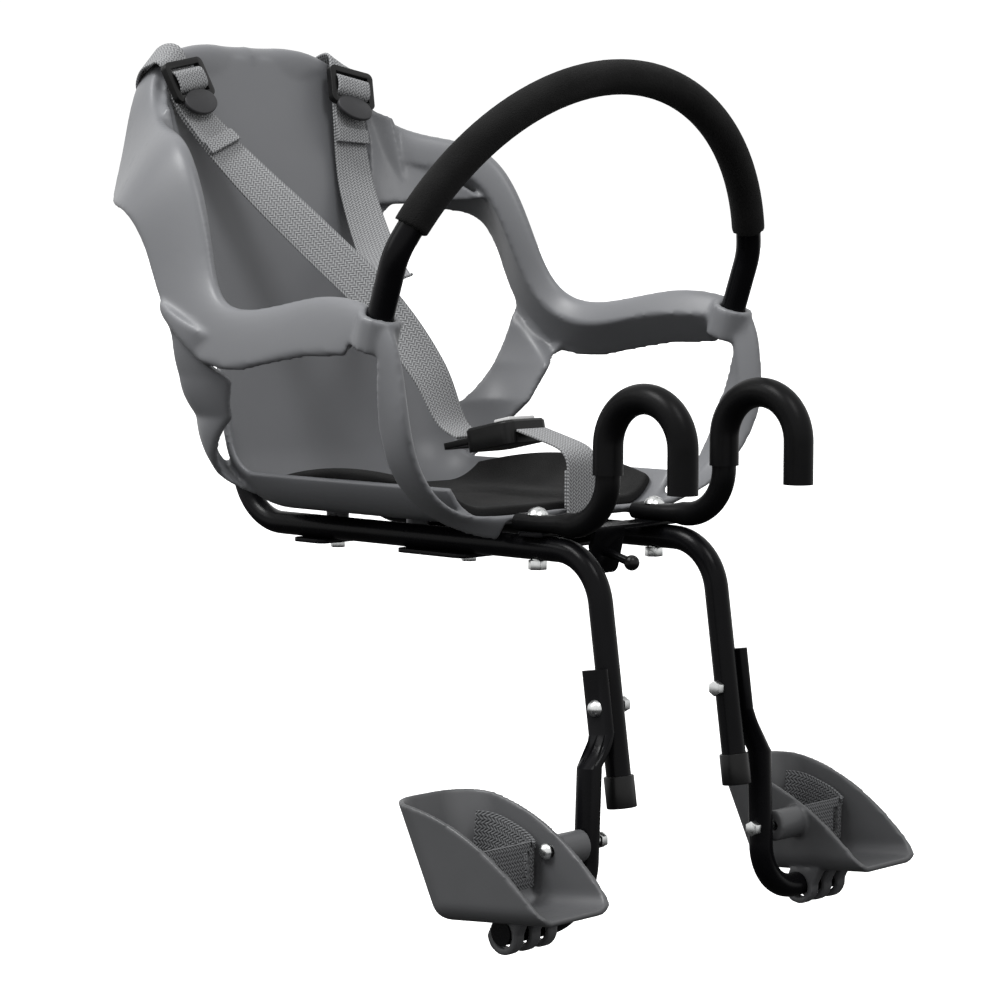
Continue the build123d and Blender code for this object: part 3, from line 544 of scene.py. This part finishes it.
@dataclass
class SeatShell(Moulding):
    """The seat moulding: drawn-in struts, short hoop sockets and a web above each side oval.

    Each strut row is a height, the shift across and along, the strut's middle and its new breadth;
    each web row is the sheet's inner and outer edge. All are in millimetres.
    """

    wall: float = 4.0
    bulge: float = 0.006
    strut: tuple[tuple[float, ...], ...] = (
        (-26.0, -1.0, -1.0, 298.0, 1.0),
        (-14.0, -4.0, -7.0, 298.0, 1.1),
        (9.0, -13.0, -16.5, 296.0, 1.25),
        (33.0, -12.0, -12.0, 278.0, 1.05),
        (57.0, -8.0, -5.0, 265.0, 0.95),
        (80.0, 0.0, 0.0, 259.0, 1.0),
    )
    web: tuple[tuple[Colour, Colour], ...] = (
        ((80, 362, 201), (94, 352, 187)),
        ((80, 354, 177), (103, 331, 165)),
        ((76, 349, 155), (115, 309, 151)),
        ((74, 343, 135), (125, 292, 139)),
    )

    def slim(self, p: Vector) -> Vector:
        """Draws the struts in and shortens the sockets under the armrests.

        Args:
            p: a point in millimetres.

        Returns:
            Where it goes.
        """
        side = side_of(p.x)
        skirt = 43 + 0.97 * max(0.0, p.y - 251)
        below = 1 - ease(-20, 2, p.z - skirt)
        weight = ease(96, 112, abs(p.x)) * ease(224, 246, p.y) * below * ease(-40, -22, p.z)
        if weight > 0:
            z = min(max(p.z, self.strut[0][0]), self.strut[-1][0])
            low = max(i for i in range(len(self.strut) - 1) if self.strut[i][0] <= z)
            a, b = self.strut[low], self.strut[low + 1]
            t = (z - a[0]) / (b[0] - a[0])
            dx, dy, mid, size = (u + (v - u) * t for u, v in zip(a[1:], b[1:]))
            moved = mid + dy + (p.y - mid) * size
            p = Vector((p.x + side * dx * weight, p.y + (moved - p.y) * weight, p.z))
        return shortened(p)

    def web_sheet(self, side: int) -> bpy.types.Object:
        """One curved sheet between the back and the wing.

        Args:
            side: 1 for the left, -1 for the right.

        Returns:
            The sheet.
        """
        deselect()
        bpy.ops.mesh.primitive_grid_add(x_subdivisions=10, y_subdivisions=24, size=1)
        sheet = bpy.context.object
        inner = [(a, (1, 0, 0)) for a, _ in self.web]
        outer = [(b, (1, 0, 0)) for _, b in self.web]
        for vertex in sheet.data.vertices:
            u, v = vertex.co.x + 0.5, (vertex.co.y + 0.5) * (len(self.web) - 1)
            a, b = spline_at(inner, v)[0], spline_at(outer, v)[0]
            point = a.lerp(b, u) + Vector((0.6, 0.8, 0)) * (self.bulge * 4 * u * (1 - u))
            vertex.co = (side * point.x, point.y, point.z)
        body = sheet.modifiers.new("thickness", "SOLIDIFY")
        body.thickness = self.wall / 1000
        body.offset = 0.0
        apply_modifiers(sheet)
        return sheet

    def form(self, frame: dict) -> bpy.types.Object:
        """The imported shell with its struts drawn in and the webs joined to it.

        Args:
            frame: what the frame loader gave.

        Returns:
            The new piece.
        """
        piece = node_copy(frame, self.node, self.name)
        pick(piece)
        bpy.ops.object.mode_set(mode="EDIT")
        bpy.ops.mesh.select_all(action="SELECT")
        bpy.ops.mesh.normals_make_consistent(inside=False)
        bpy.ops.object.mode_set(mode="OBJECT")
        fine = piece.modifiers.new("even", "REMESH")
        fine.mode = "VOXEL"
        fine.voxel_size = self.voxel
        apply_modifiers(piece)
        reshaped(piece, self.slim)
        sheets = [self.web_sheet(side) for side in (1, -1)]
        pick(piece)
        for sheet in sheets:
            sheet.select_set(True)
        bpy.ops.object.join()
        return piece


@dataclass
class HardPiece:
    """A metal or hard plastic piece: its packed form with eased edges."""

    node: str
    name: str
    finish: str
    slot: str
    edge: float = 0.0
    angle: float = 34.0
    body: str = "seat"
    reshape: Reshape | None = None

    def build(self, frame: dict, palette: Palette) -> bpy.types.Object:
        """Copies, eases and dresses the piece.

        Args:
            frame: what the frame loader gave.
            palette: the materials.

        Returns:
            The finished piece.
        """
        piece = node_copy(frame, self.node, self.name)
        reshaped(piece, self.reshape)
        if self.edge:
            pick(piece)
            bpy.ops.object.mode_set(mode="EDIT")
            bpy.ops.mesh.select_all(action="SELECT")
            bpy.ops.mesh.dissolve_limited(angle_limit=math.radians(1.0))
            bpy.ops.object.mode_set(mode="OBJECT")
            bevel = piece.modifiers.new("eased", "BEVEL")
            bevel.width = self.edge
            bevel.segments = 2
            bevel.limit_method = "ANGLE"
            bevel.angle_limit = math.radians(self.angle)
            bevel.use_clamp_overlap = True
            apply_modifiers(piece)
        smooth(piece, self.angle)
        finish_piece(piece, palette[self.finish], self.slot, self.body, self.node)
        return piece


# Footrests

@dataclass(frozen=True)
class FootSetting:
    """Sets the footrests as worn: the right one a hole higher, both scoops tipped a little.

    Sizes are in millimetres. A packed scoop's front, length, floor and height give way to new ones.
    """

    step_z: float = 6.25
    step_y: float = 0.912
    tube_y: float = 6.4
    tube_z: float = -261.5
    pitch: float = -6.0
    spread: float = 6.0
    rise: float = 1.5
    packed: tuple[float, float, float, float] = (-26, 92, -251, 58)
    shown: tuple[float, float, float, float] = (-31, 90, -252.8, 66.3)
    heel_lean: float = 0.10
    boss_x: float = 105
    boss_length: float = 29
    bolt_shift: tuple[float, float] = (-1.7, 1.9)

    def stepped(self, p: Vector, weight: float = 1.0) -> Vector:
        """Moves a point along the leg to its side's hole."""
        side = side_of(p.x)
        return Vector((p.x, p.y - side * self.step_y * weight, p.z - side * self.step_z * weight))

    def tipped(self, p: Vector) -> Vector:
        """Tips a point about the foot tube."""
        turn = math.radians(self.pitch)
        y, z = p.y - self.tube_y, p.z - self.tube_z
        return Vector((
            p.x,
            self.tube_y + y * math.cos(turn) - z * math.sin(turn),
            self.tube_z + y * math.sin(turn) + z * math.cos(turn),
        ))

    def scoop(self, p: Vector) -> Vector:
        """Deepens, tips and steps a footrest; its lugs stay on the tube.

        Args:
            p: a point in millimetres.

        Returns:
            Where it goes.
        """
        front, length, floor, height = self.packed
        new_front, new_length, new_floor, new_height = self.shown
        above = ease(-258, -250, p.z)
        heel = min(max((p.y - front) / length, 0.0), 1.0)
        lean = self.heel_lean * max(0.0, p.z - floor) * heel
        y = new_front + (p.y - front) * new_length / length - lean
        z = new_floor + (p.z - floor) * new_height / height
        across = p.x + side_of(p.x) * max(0.0, self.boss_x - abs(p.x)) * self.spread / self.boss_length
        shaped = Vector((across, p.y + (y - p.y) * above, (p.z + self.rise) * (1 - above) + z * above))
        return self.stepped(self.tipped(shaped))

    def fastener(self, p: Vector) -> Vector:
        """Moves a footrest's bolt or nut with its boss."""
        across = p.x + side_of(p.x) * self.spread * (1 - ease(70, 100, abs(p.x)))
        along, up = self.bolt_shift
        return self.stepped(Vector((across, p.y + along, p.z + up)))

    def arm(self, p: Vector) -> Vector:
        """Moves the arm's lower run with the footrest; its bolted end stays."""
        weight = 1 - ease(-192, -160, p.z)
        across = p.x + side_of(p.x) * self.spread * weight * (1 - ease(90, 140, abs(p.x)))
        return self.stepped(Vector((across, p.y, p.z + self.rise * weight)), weight)


# Webbing

def spline_at(stations: list[Station], place: float) -> tuple[Vector, Vector]:
    """Middle point and width direction of a run at a place counted in stations.

    Args:
        stations: middle points in millimetres and width directions.
        place: how many stations along.

    Returns:
        The point in metres and the unit width direction.
    """
    spans = len(stations) - 1
    at = min(max(place, 0.0), float(spans))
    i = min(int(at), spans - 1)
    t = at - i
    keys = [stations[min(max(i + k, 0), spans)] for k in (-1, 0, 1, 2)]
    mixed = []
    for part in (0, 1):
        a, b, c, d = (Vector(key[part]) for key in keys)
        mixed.append(
            0.5 * (2 * b + (c - a) * t + (2 * a - 5 * b + 4 * c - d) * t * t + (3 * b - a - 3 * c + d) * t**3)
        )
    return mixed[0] / 1000, mixed[1].normalized()


@dataclass
class Run:
    """The line that a strap follows, with places counted in metres."""

    stations: list[Station]
    fineness: int = 60
    lengths: list[float] = field(default_factory=list)

    def __post_init__(self) -> None:
        """Measures the run."""
        count = (len(self.stations) - 1) * self.fineness
        points = [spline_at(self.stations, i / self.fineness)[0] for i in range(count + 1)]
        self.lengths = [0.0]
        for a, b in zip(points, points[1:]):
            self.lengths.append(self.lengths[-1] + (b - a).length)

    def station_length(self, place: float) -> float:
        """Length up to a place counted in stations."""
        return self.lengths[min(int(place * self.fineness), len(self.lengths) - 1)]

    def at(self, metres: float) -> tuple[Vector, Vector, Vector]:
        """Middle point, width direction and direction along at a length.

        Args:
            metres: length from the run's start.

        Returns:
            The point, the unit width direction and the unit direction along.
        """
        index = min(max(bisect_left(self.lengths, metres), 1), len(self.lengths) - 1)
        low, high = self.lengths[index - 1], self.lengths[index]
        part = (metres - low) / (high - low) if high > low else 0.0
        place = (index - 1 + min(max(part, 0.0), 1.0)) / self.fineness
        point, wide = spline_at(self.stations, place)
        along = spline_at(self.stations, place + 0.04)[0] - spline_at(self.stations, place - 0.04)[0]
        along.normalize()
        wide = (wide - along * wide.dot(along)).normalized()
        return point, wide, along


@dataclass
class Webbing:
    """A flat woven strap along a run."""

    name: str
    run: Run
    finish: str
    slot: str
    nodes: tuple[str, ...] = ()
    width: float = 0.025
    thick: float = 0.0016
    lift: float = 0.0
    start: float = 0.0
    end: float | None = None
    step: float = 0.0025

    def sheet(self) -> bpy.types.Object:
        """A closed strap with eased edges; its own map counts across and along.

        Returns:
            The new object.
        """
        last = self.run.lengths[-1] if self.end is None else self.end
        length = last - self.start
        rows = max(8, int(length / self.step))
        deselect()
        bpy.ops.mesh.primitive_grid_add(x_subdivisions=6, y_subdivisions=rows, size=1)
        piece = bpy.context.object
        piece.name = self.name
        mesh = piece.data
        mesh.name = self.name
        layer = mesh.uv_layers.active or mesh.uv_layers.new(name="run")
        for loop in mesh.loops:
            co = mesh.vertices[loop.vertex_index].co
            layer.data[loop.index].uv = (co.x + 0.5, self.start + (co.y + 0.5) * length)
        for vertex in mesh.vertices:
            across = vertex.co.x
            point, wide, along = self.run.at(self.start + (vertex.co.y + 0.5) * length)
            vertex.co = point + wide * (across * self.width) + wide.cross(along) * self.lift
        body = piece.modifiers.new("thickness", "SOLIDIFY")
        body.thickness = self.thick
        body.offset = 0.0
        bevel = piece.modifiers.new("selvedge", "BEVEL")
        bevel.width = self.thick * 0.3
        bevel.segments = 2
        bevel.limit_method = "ANGLE"
        bevel.angle_limit = math.radians(50)
        apply_modifiers(piece)
        pick(piece)
        bpy.ops.object.mode_set(mode="EDIT")
        bpy.ops.mesh.select_all(action="SELECT")
        bpy.ops.mesh.normals_make_consistent(inside=False)
        bpy.ops.object.mode_set(mode="OBJECT")
        return piece

    def build(self, palette: Palette) -> bpy.types.Object:
        """Makes and dresses the strap.

        Args:
            palette: the materials.

        Returns:
            The finished strap.
        """
        piece = self.sheet()
        smooth(piece, 50)
        finish_piece(piece, palette[self.finish], self.slot, "seat", *self.nodes)
        return piece


SHOULDER: list[Station] = [
    ((44, 370.6, 180), (1, 0, 0)),
    ((53, 388, 197), (1, -0.1, -0.2)),
    ((70, 397, 211), (0.8, -0.3, -0.6)),
    ((75.5, 387, 223.5), (0.8, -0.3, -0.6)),
    ((74, 371, 225.5), (0.8, -0.3, -0.5)),
    ((69, 362, 209), (1, -0.1, -0.1)),
    ((65, 357, 190), (1, 0, 0)),
]
RIGHT_RUN: list[Station] = [
    ((-50, 326, 154), (0.85, -0.25, 0.3)),
    ((-33, 284, 114), (0.65, -0.4, 0.6)),
    ((-18, 242, 75), (0.65, -0.4, 0.6)),
    ((-7, 212, 36), (0.85, -0.2, 0.3)),
    ((-1, 197, 4), (1, 0, 0)),
    ((0, 182, -4.4), (1, 0, 0)),
]
LEFT_RUN: list[Station] = [
    ((60, 344, 148), (0.95, -0.3, 0)),
    ((46, 312, 108), (0.8, -0.55, 0.1)),
    ((22, 274, 90), (0.75, -0.6, 0.2)),
    ((-6, 241, 87), (0.7, -0.5, 0.4)),
]
CROTCH_RUN: list[Station] = [
    ((0, 128, -50.2), (1, 0, 0)),
    ((0, 110, -50.2), (1, 0, 0)),
    ((0, 97, -50.2), (1, 0, 0)),
    ((0, 92.4, -49.3), (1, 0, 0)),
    ((0, 91.5, -45), (1, 0, 0)),
    ((0, 91.5, -32), (1, 0, 0)),
    ((0, 91.7, -17), (1, 0, 0)),
    ((0, 94.3, -10.4), (1, 0, 0)),
    ((0, 100.5, -6.2), (1, 0, 0)),
    ((0, 114, -2.4), (1, 0, 0)),
    ((0, 132.4, 2.2), (1, 0, 0)),
]
LOCK_STATION = 5


def mirrored(stations: list[Station]) -> list[Station]:
    """The same stations on the other side of the seat."""
    return [((-p[0], p[1], p[2]), (w[0], -w[1], -w[2])) for p, w in stations]


@dataclass
class LadderLock:
    """Webbing and thumb tab of one strap adjuster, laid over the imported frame."""

    word: str
    run: Run
    seat_gap: float = 0.0018
    frame_t: float = 0.0045
    slot_at: float = 0.0066
    tail: float = 0.042

    def place(self) -> tuple[Vector, Vector, Vector, Vector]:
        """The adjuster's middle on the strap and its three directions.

        Returns:
            Its middle, across, down the strap and out of the strap's front.
        """
        point, wide, along = self.run.at(self.run.station_length(LOCK_STATION))
        out = wide.cross(along)
        out = -out if out.y > 0 else out
        return point + out * self.seat_gap, wide, along, out

    def wrap(self, palette: Palette) -> None:
        """Webbing drawn over the middle bar through both slots."""
        middle, wide, down, out = self.place()
        top, s = self.frame_t, self.slot_at
        profile = [(-s, -0.001), (-s, 0.0022), (-0.0047, top + 0.0009), (0, top + 0.0016)]
        profile += [(-a, h) for a, h in reversed(profile[:-1])]
        stations = [(tuple((middle + down * a + out * h) * 1000), tuple(wide)) for a, h in profile]
        strap = Webbing(f"{self.word}_lock_webbing", Run(stations), "grey_webbing", "webbing", step=0.001)
        strap.build(palette)

    def thumb_tab(self, palette: Palette) -> None:
        """Rounded tab below the lower bar, tilted off the strap."""
        middle, wide, down, out = self.place()
        deselect()
        bpy.ops.mesh.primitive_circle_add(vertices=56, radius=1, fill_type="NGON")
        piece = bpy.context.object
        piece.name = f"{self.word}_thumb_tab"
        for vertex in piece.data.vertices:
            across, along = vertex.co.x * 0.0135, 0.0155 + vertex.co.y * 0.0088
            vertex.co = middle + wide * across + down * along + out * (0.0036 + 0.16 * (along - 0.009))
        body = piece.modifiers.new("thickness", "SOLIDIFY")
        body.thickness = 0.0030
        body.offset = 0.0
        bevel = piece.modifiers.new("eased", "BEVEL")
        bevel.width = 0.0010
        bevel.segments = 3
        bevel.limit_method = "ANGLE"
        bevel.angle_limit = math.radians(40)
        apply_modifiers(piece)
        smooth(piece, 45)
        finish_piece(piece, palette["thumb_plastic"], "black_plastic", "seat")

    def strap_tail(self, palette: Palette) -> None:
        """Loose end of the strap lying on it below the lock, with a folded hem."""
        here = self.run.station_length(LOCK_STATION)
        _, wide, along, out = self.place()
        front = 1.0 if wide.cross(along).dot(out) > 0 else -1.0
        spans = [("tail", 0.012, self.tail, 0.0021), ("hem", self.tail - 0.009, self.tail + 0.0004, 0.0039)]
        for part, start, end, lift in spans:
            Webbing(
                f"{self.word}_strap_{part}",
                self.run,
                "grey_webbing",
                "webbing",
                lift=front * lift,
                start=here + start,
                end=here + end,
                step=0.0015,
            ).build(palette)

    def build(self, palette: Palette) -> None:
        """Builds the wrap, the tab and the strap's loose end."""
        self.wrap(palette)
        self.thumb_tab(palette)
        self.strap_tail(palette)


@dataclass
class FootBand:
    """Band on edge across one footrest, with a slot at each front corner."""

    side: int
    word: str
    tray_x: float = 135.0
    inner_half: float = 24.6
    toe_y: float = 24.0
    low_z: float = -229.5
    rise: float = 12.5
    step_z: float = 6.25
    step_y: float = 0.912

    def stations(self) -> list[Station]:
        """Stations from one end at the heel, round the front, to the other end."""
        w, y, z, up = self.inner_half, self.toe_y, self.low_z, self.rise
        half = [
            (w - 8.2, y + 38, z + up),
            (w - 3.6, y + 33.2, z + 0.95 * up),
            (w - 0.8, y + 26, z + 0.8 * up),
            (w - 0.2, y + 14, z + 0.5 * up),
            (w - 0.7, y + 5.5, z + 0.2 * up),
            (w - 2, y + 1.6, z + 0.05 * up),
            (w - 4.8, y, z),
        ]
        both = half + [(-x, py, pz) for x, py, pz in reversed(half)]
        dy, dz = self.side * self.step_y, self.side * self.step_z
        return [((self.side * (self.tray_x + x), py - dy, pz - dz), (0, 0, 1)) for x, py, pz in both]

    def cutter(self, across: float) -> bpy.types.Object:
        """A block that cuts one slot.

        Args:
            across: the slot's middle from the footrest's middle, in millimetres.

        Returns:
            The block.
        """
        deselect()
        x = self.side * (self.tray_x + across) / 1000
        y = (self.toe_y - self.side * self.step_y) / 1000
        z = (self.low_z - self.side * self.step_z) / 1000
        bpy.ops.mesh.primitive_cube_add(size=1, location=(x, y, z), scale=(0.0046, 0.012, 0.0150))
        block = bpy.context.object
        settle(block)
        return block

    def build(self, palette: Palette) -> None:
        """Makes the band, cuts its slots and dresses it."""
        run = Run(self.stations())
        strap = Webbing(f"{self.word}_foot_band", run, "foot_webbing", "band", thick=0.0018, step=0.0015)
        piece = strap.sheet()
        for across in (-17.0, 17.0):
            block = self.cutter(across)
            cut = piece.modifiers.new("slot", "BOOLEAN")
            cut.operation = "DIFFERENCE"
            cut.solver = "EXACT"
            cut.object = block
            apply_modifiers(piece)
            bpy.data.objects.remove(block)
        smooth(piece, 50)
        finish_piece(piece, palette["foot_webbing"], "band", "seat", f"{self.word}_foot_strap")


@dataclass
class Harness:
    """Shoulder and crotch straps, their locks and the foot bands."""

    right: Run = field(default_factory=lambda: Run(mirrored(SHOULDER) + RIGHT_RUN))
    left: Run = field(default_factory=lambda: Run(SHOULDER + LEFT_RUN))
    crotch: Run = field(default_factory=lambda: Run(CROTCH_RUN))

    def build(self, palette: Palette) -> None:
        """Builds every strap."""
        straps = [("right_shoulder", self.right), ("left_shoulder", self.left), ("crotch", self.crotch)]
        for word, run in straps:
            Webbing(f"{word}_webbing", run, "grey_webbing", "webbing", (f"{word}_strap",)).build(palette)
        fold = self.crotch.station_length(6)
        hem = Webbing("crotch_hem", self.crotch, "grey_webbing", "webbing", lift=-0.0019)
        hem.start, hem.end = fold - 0.024, fold - 0.002
        hem.build(palette)
        LadderLock("right", self.right, tail=0.050).build(palette)
        LadderLock("left", self.left, tail=0.036).build(palette)
        FootBand(-1, "right").build(palette)
        FootBand(1, "left").build(palette)


@dataclass
class SeatPad:
    """Foam sheet that lies in the dish of the pan with its sides curled up."""

    front: float = 107.0
    rear: float = 267.0
    flat: float = 60.0
    bend_r: float = 35.0
    bend: float = 68.0
    floor_z: float = -41.6
    thick: float = 6.0
    corner: float = 0.42

    def at(self, u: float, v: float) -> Vector:
        """A point of the sheet's middle.

        Args:
            u: place across, from -1 to 1.
            v: place along, from -1 at the front to 1.

        Returns:
            The point in metres.
        """
        half = self.flat + self.bend_r * math.radians(self.bend)
        across = u * math.sqrt(1 - self.corner * v * v / 2) * half
        along = v * math.sqrt(1 - self.corner * u * u / 2)
        side = side_of(across)
        turn = max(0.0, abs(across) - self.flat) / self.bend_r
        x = side * (min(abs(across), self.flat) + self.bend_r * math.sin(turn))
        crown = 1.4 * math.cos(1.5 * u) * math.cos(1.5 * v)
        z = self.floor_z + self.bend_r * (1 - math.cos(turn)) + crown
        return Vector((x, (self.front + self.rear) / 2 + along * (self.rear - self.front) / 2, z)) / 1000

    def build(self, palette: Palette) -> None:
        """Lays the sheet, gives it thickness and soft edges and dresses it.

        Args:
            palette: the materials.
        """
        deselect()
        bpy.ops.mesh.primitive_grid_add(x_subdivisions=72, y_subdivisions=56, size=2)
        piece = bpy.context.object
        piece.name = "foam_pad"
        piece.data.name = "foam_pad"
        for vertex in piece.data.vertices:
            vertex.co = self.at(vertex.co.x, vertex.co.y)
        body = piece.modifiers.new("thickness", "SOLIDIFY")
        body.thickness = self.thick / 1000
        body.offset = 0.0
        soft = piece.modifiers.new("soft_edge", "BEVEL")
        soft.width = 0.0018
        soft.segments = 3
        soft.limit_method = "ANGLE"
        soft.angle_limit = math.radians(50)
        apply_modifiers(piece)
        smooth(piece, 60)
        finish_piece(piece, palette["pad_foam"], "pad", "seat", "seat_pad")


@dataclass
class Studio:
    """Pale floor, soft light from above and the camera."""

    focal_px: float = 2979.78
    azimuth: float = -46.13
    elevation: float = 5.064
    roll: float = 0.056
    origin_px: tuple[float, float] = (704.33, 444.11)
    depth: float = 1.65587
    floor_z: float = -0.62
    sky: float = 1.05
    ground: float = 0.05

    def light(self, name: str, place: Colour, aim: Colour, size: float, power: float) -> None:
        """One soft area light.

        Args:
            name: its name.
            place: where it stands, in metres.
            aim: the point it faces.
            size: its width.
            power: its watts.
        """
        deselect()
        bpy.ops.object.light_add(type="AREA", location=place)
        lamp = bpy.context.object
        lamp.name = name
        lamp.data.shape = "DISK"
        lamp.data.size = size
        lamp.data.energy = power
        lamp.rotation_euler = (Vector(aim) - Vector(place)).to_track_quat("-Z", "Y").to_euler()

    def sun(self, name: str, toward: Colour, angle: float, strength: float) -> None:
        """One wide, even light from far away.

        Args:
            name: its name.
            toward: the direction it comes from.
            angle: how wide it looks, in degrees.
            strength: its strength.
        """
        deselect()
        bpy.ops.object.light_add(type="SUN", location=toward)
        lamp = bpy.context.object
        lamp.name = name
        lamp.data.energy = strength
        lamp.data.angle = math.radians(angle)
        lamp.rotation_euler = Vector(toward).to_track_quat("Z", "Y").to_euler()

    def surround(self) -> None:
        """Even white light from above the horizon that fades out below it."""
        world = bpy.data.worlds.new("studio")
        bpy.context.scene.world = world
        world.use_nodes = True
        tree = world.node_tree
        back = tree.nodes["Background"]
        back.inputs["Color"].default_value = (1, 1, 1, 1)
        place = add_node(tree, "ShaderNodeTexCoord")
        part = add_node(tree, "ShaderNodeSeparateXYZ", {0: place.outputs["Generated"]})
        levels = {"From Min": -0.3, "From Max": -0.03, "To Min": self.ground, "To Max": self.sky}
        fade = add_node(tree, "ShaderNodeMapRange", {"Value": part.outputs[2], **levels})
        tree.links.new(fade.outputs[0], back.inputs["Strength"])

    def build(self, palette: Palette) -> None:
        """Builds floor, surround, lights and camera.

        Args:
            palette: the materials.
        """
        deselect()
        bpy.ops.mesh.primitive_plane_add(size=300, location=(0, 0, self.floor_z))
        floor = bpy.context.object
        floor.name = "studio_floor"
        floor.data.materials.append(palette["pale_paper"])
        floor.visible_diffuse = False
        floor.visible_glossy = False
        self.surround()
        self.sun("key", (-0.5, 0.25, 0.83), 22, 2.8)
        self.light("front", (-0.35, -0.9, 1.5), (0, 0.25, 0.05), 0.7, 12)
        self.light("back", (-1.5, 1.3, 1.2), (0, 0.2, 0.05), 1.0, 8)
        bpy.context.scene.view_settings.view_transform = "Standard"
        self.camera()

    def camera(self) -> None:
        """Camera at the photograph's viewing angle."""
        a, e, r = (math.radians(v) for v in (self.azimuth, self.elevation, self.roll))
        back = Vector((math.sin(a) * math.cos(e), -math.cos(a) * math.cos(e), math.sin(e)))
        right = Vector((math.cos(a), math.sin(a), 0))
        up = back.cross(right)
        rolled_right = right * math.cos(r) + up * math.sin(r)
        rolled_up = up * math.cos(r) - right * math.sin(r)
        off_x = (self.origin_px[0] - 500) * self.depth / self.focal_px
        off_y = -(self.origin_px[1] - 500) * self.depth / self.focal_px
        place = back * self.depth - rolled_right * off_x - rolled_up * off_y
        turn = Matrix((rolled_right, rolled_up, back)).transposed()
        deselect()
        bpy.ops.object.camera_add(location=place, rotation=turn.to_euler())
        camera = bpy.context.object
        camera.name = "photo_camera"
        camera.data.sensor_width = 36
        camera.data.lens = self.focal_px * 36 / 1000
        camera.data.clip_start = 0.05
        camera.data.clip_end = 400
        bpy.context.scene.camera = camera


def main() -> None:
    """Builds the seat piece by piece."""
    logging.basicConfig(level=logging.INFO, format="%(name)s %(message)s")
    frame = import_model()
    deselect()
    palette = Palette()
    feet = FootSetting()
    SeatShell("seat_shell", "seat_moulding", "satin_grey_plastic", "shell", 0.0014, 8).build(frame, palette)
    for side in ("right", "left"):
        scoop = Moulding(f"{side}_footrest", f"{side}_foot_scoop", "footrest_plastic", "shell", 0.0010, 4)
        scoop.reshape = feet.scoop
        scoop.build(frame, palette)
    Moulding("foam_grip", "hoop_foam", "black_foam", "foam", 0.0015, 3).build(frame, palette)
    hard = [
        HardPiece("base_frame", "frame_tube", "black_powder_coat", "frame"),
        HardPiece("grab_hoop", "hoop_tube", "black_powder_coat", "frame", reshape=shortened),
        HardPiece("front_plate", "front_cross_plate", "black_powder_coat", "frame", 0.0005),
        HardPiece("rear_plate", "rear_cross_plate", "black_powder_coat", "frame", 0.0005),
        HardPiece("stop_bracket", "stop_tab", "black_powder_coat", "frame", 0.0004),
        HardPiece("stop_rod", "stop_screw", "black_powder_coat", "frame"),
        HardPiece("stop_ball", "stop_knob", "hardware_plastic", "black_plastic"),
        HardPiece("strap_ring", "harness_ring", "hardware_plastic", "black_plastic"),
        HardPiece("buckle_body", "buckle_housing", "hardware_plastic", "black_plastic", 0.0009),
        HardPiece("buckle_tongue", "buckle_blade", "hardware_plastic", "black_plastic", 0.0007),
        HardPiece("release_button", "buckle_button", "button_plastic", "button", 0.0008, body="button"),
        HardPiece("hook_bolts", "hook_dome_bolts", "bright_zinc", "zinc"),
        HardPiece("hook_nuts", "hook_hex_nuts", "bright_zinc", "zinc", 0.0004),
        HardPiece("seat_bolts", "seat_hex_bolts", "bright_zinc", "zinc"),
        HardPiece("seat_nuts", "seat_hex_nuts", "bright_zinc", "zinc", 0.0004),
        HardPiece("arm_bolts", "arm_dome_bolts", "bright_zinc", "zinc"),
        HardPiece("arm_nuts", "arm_hex_nuts", "bright_zinc", "zinc", 0.0004),
        HardPiece("tray_bolts", "tray_dome_bolts", "bright_zinc", "zinc", reshape=feet.fastener),
        HardPiece("tray_nuts", "tray_hex_nuts", "bright_zinc", "zinc", 0.0004, reshape=feet.fastener),
    ]
    plastic = ("hardware_plastic", "black_plastic", 0.0008)
    for side in ("right", "left"):
        tube = HardPiece(f"{side}_arm", f"{side}_footrest_tube", "black_powder_coat", "frame")
        tube.reshape = feet.arm
        hard.append(HardPiece(f"{side}_hook", f"{side}_gooseneck", "black_dipped_coat", "coating"))
        hard.append(tube)
        hard.append(HardPiece(f"{side}_leg_cap", f"{side}_end_cap", *plastic))
        hard.append(HardPiece(f"{side}_adjuster", f"{side}_ladder_lock", *plastic))
    for piece in hard:
        piece.build(frame, palette)
    Harness().build(palette)
    SeatPad().build(palette)
    Studio().build(palette)


if __name__ == "__main__":
    main()
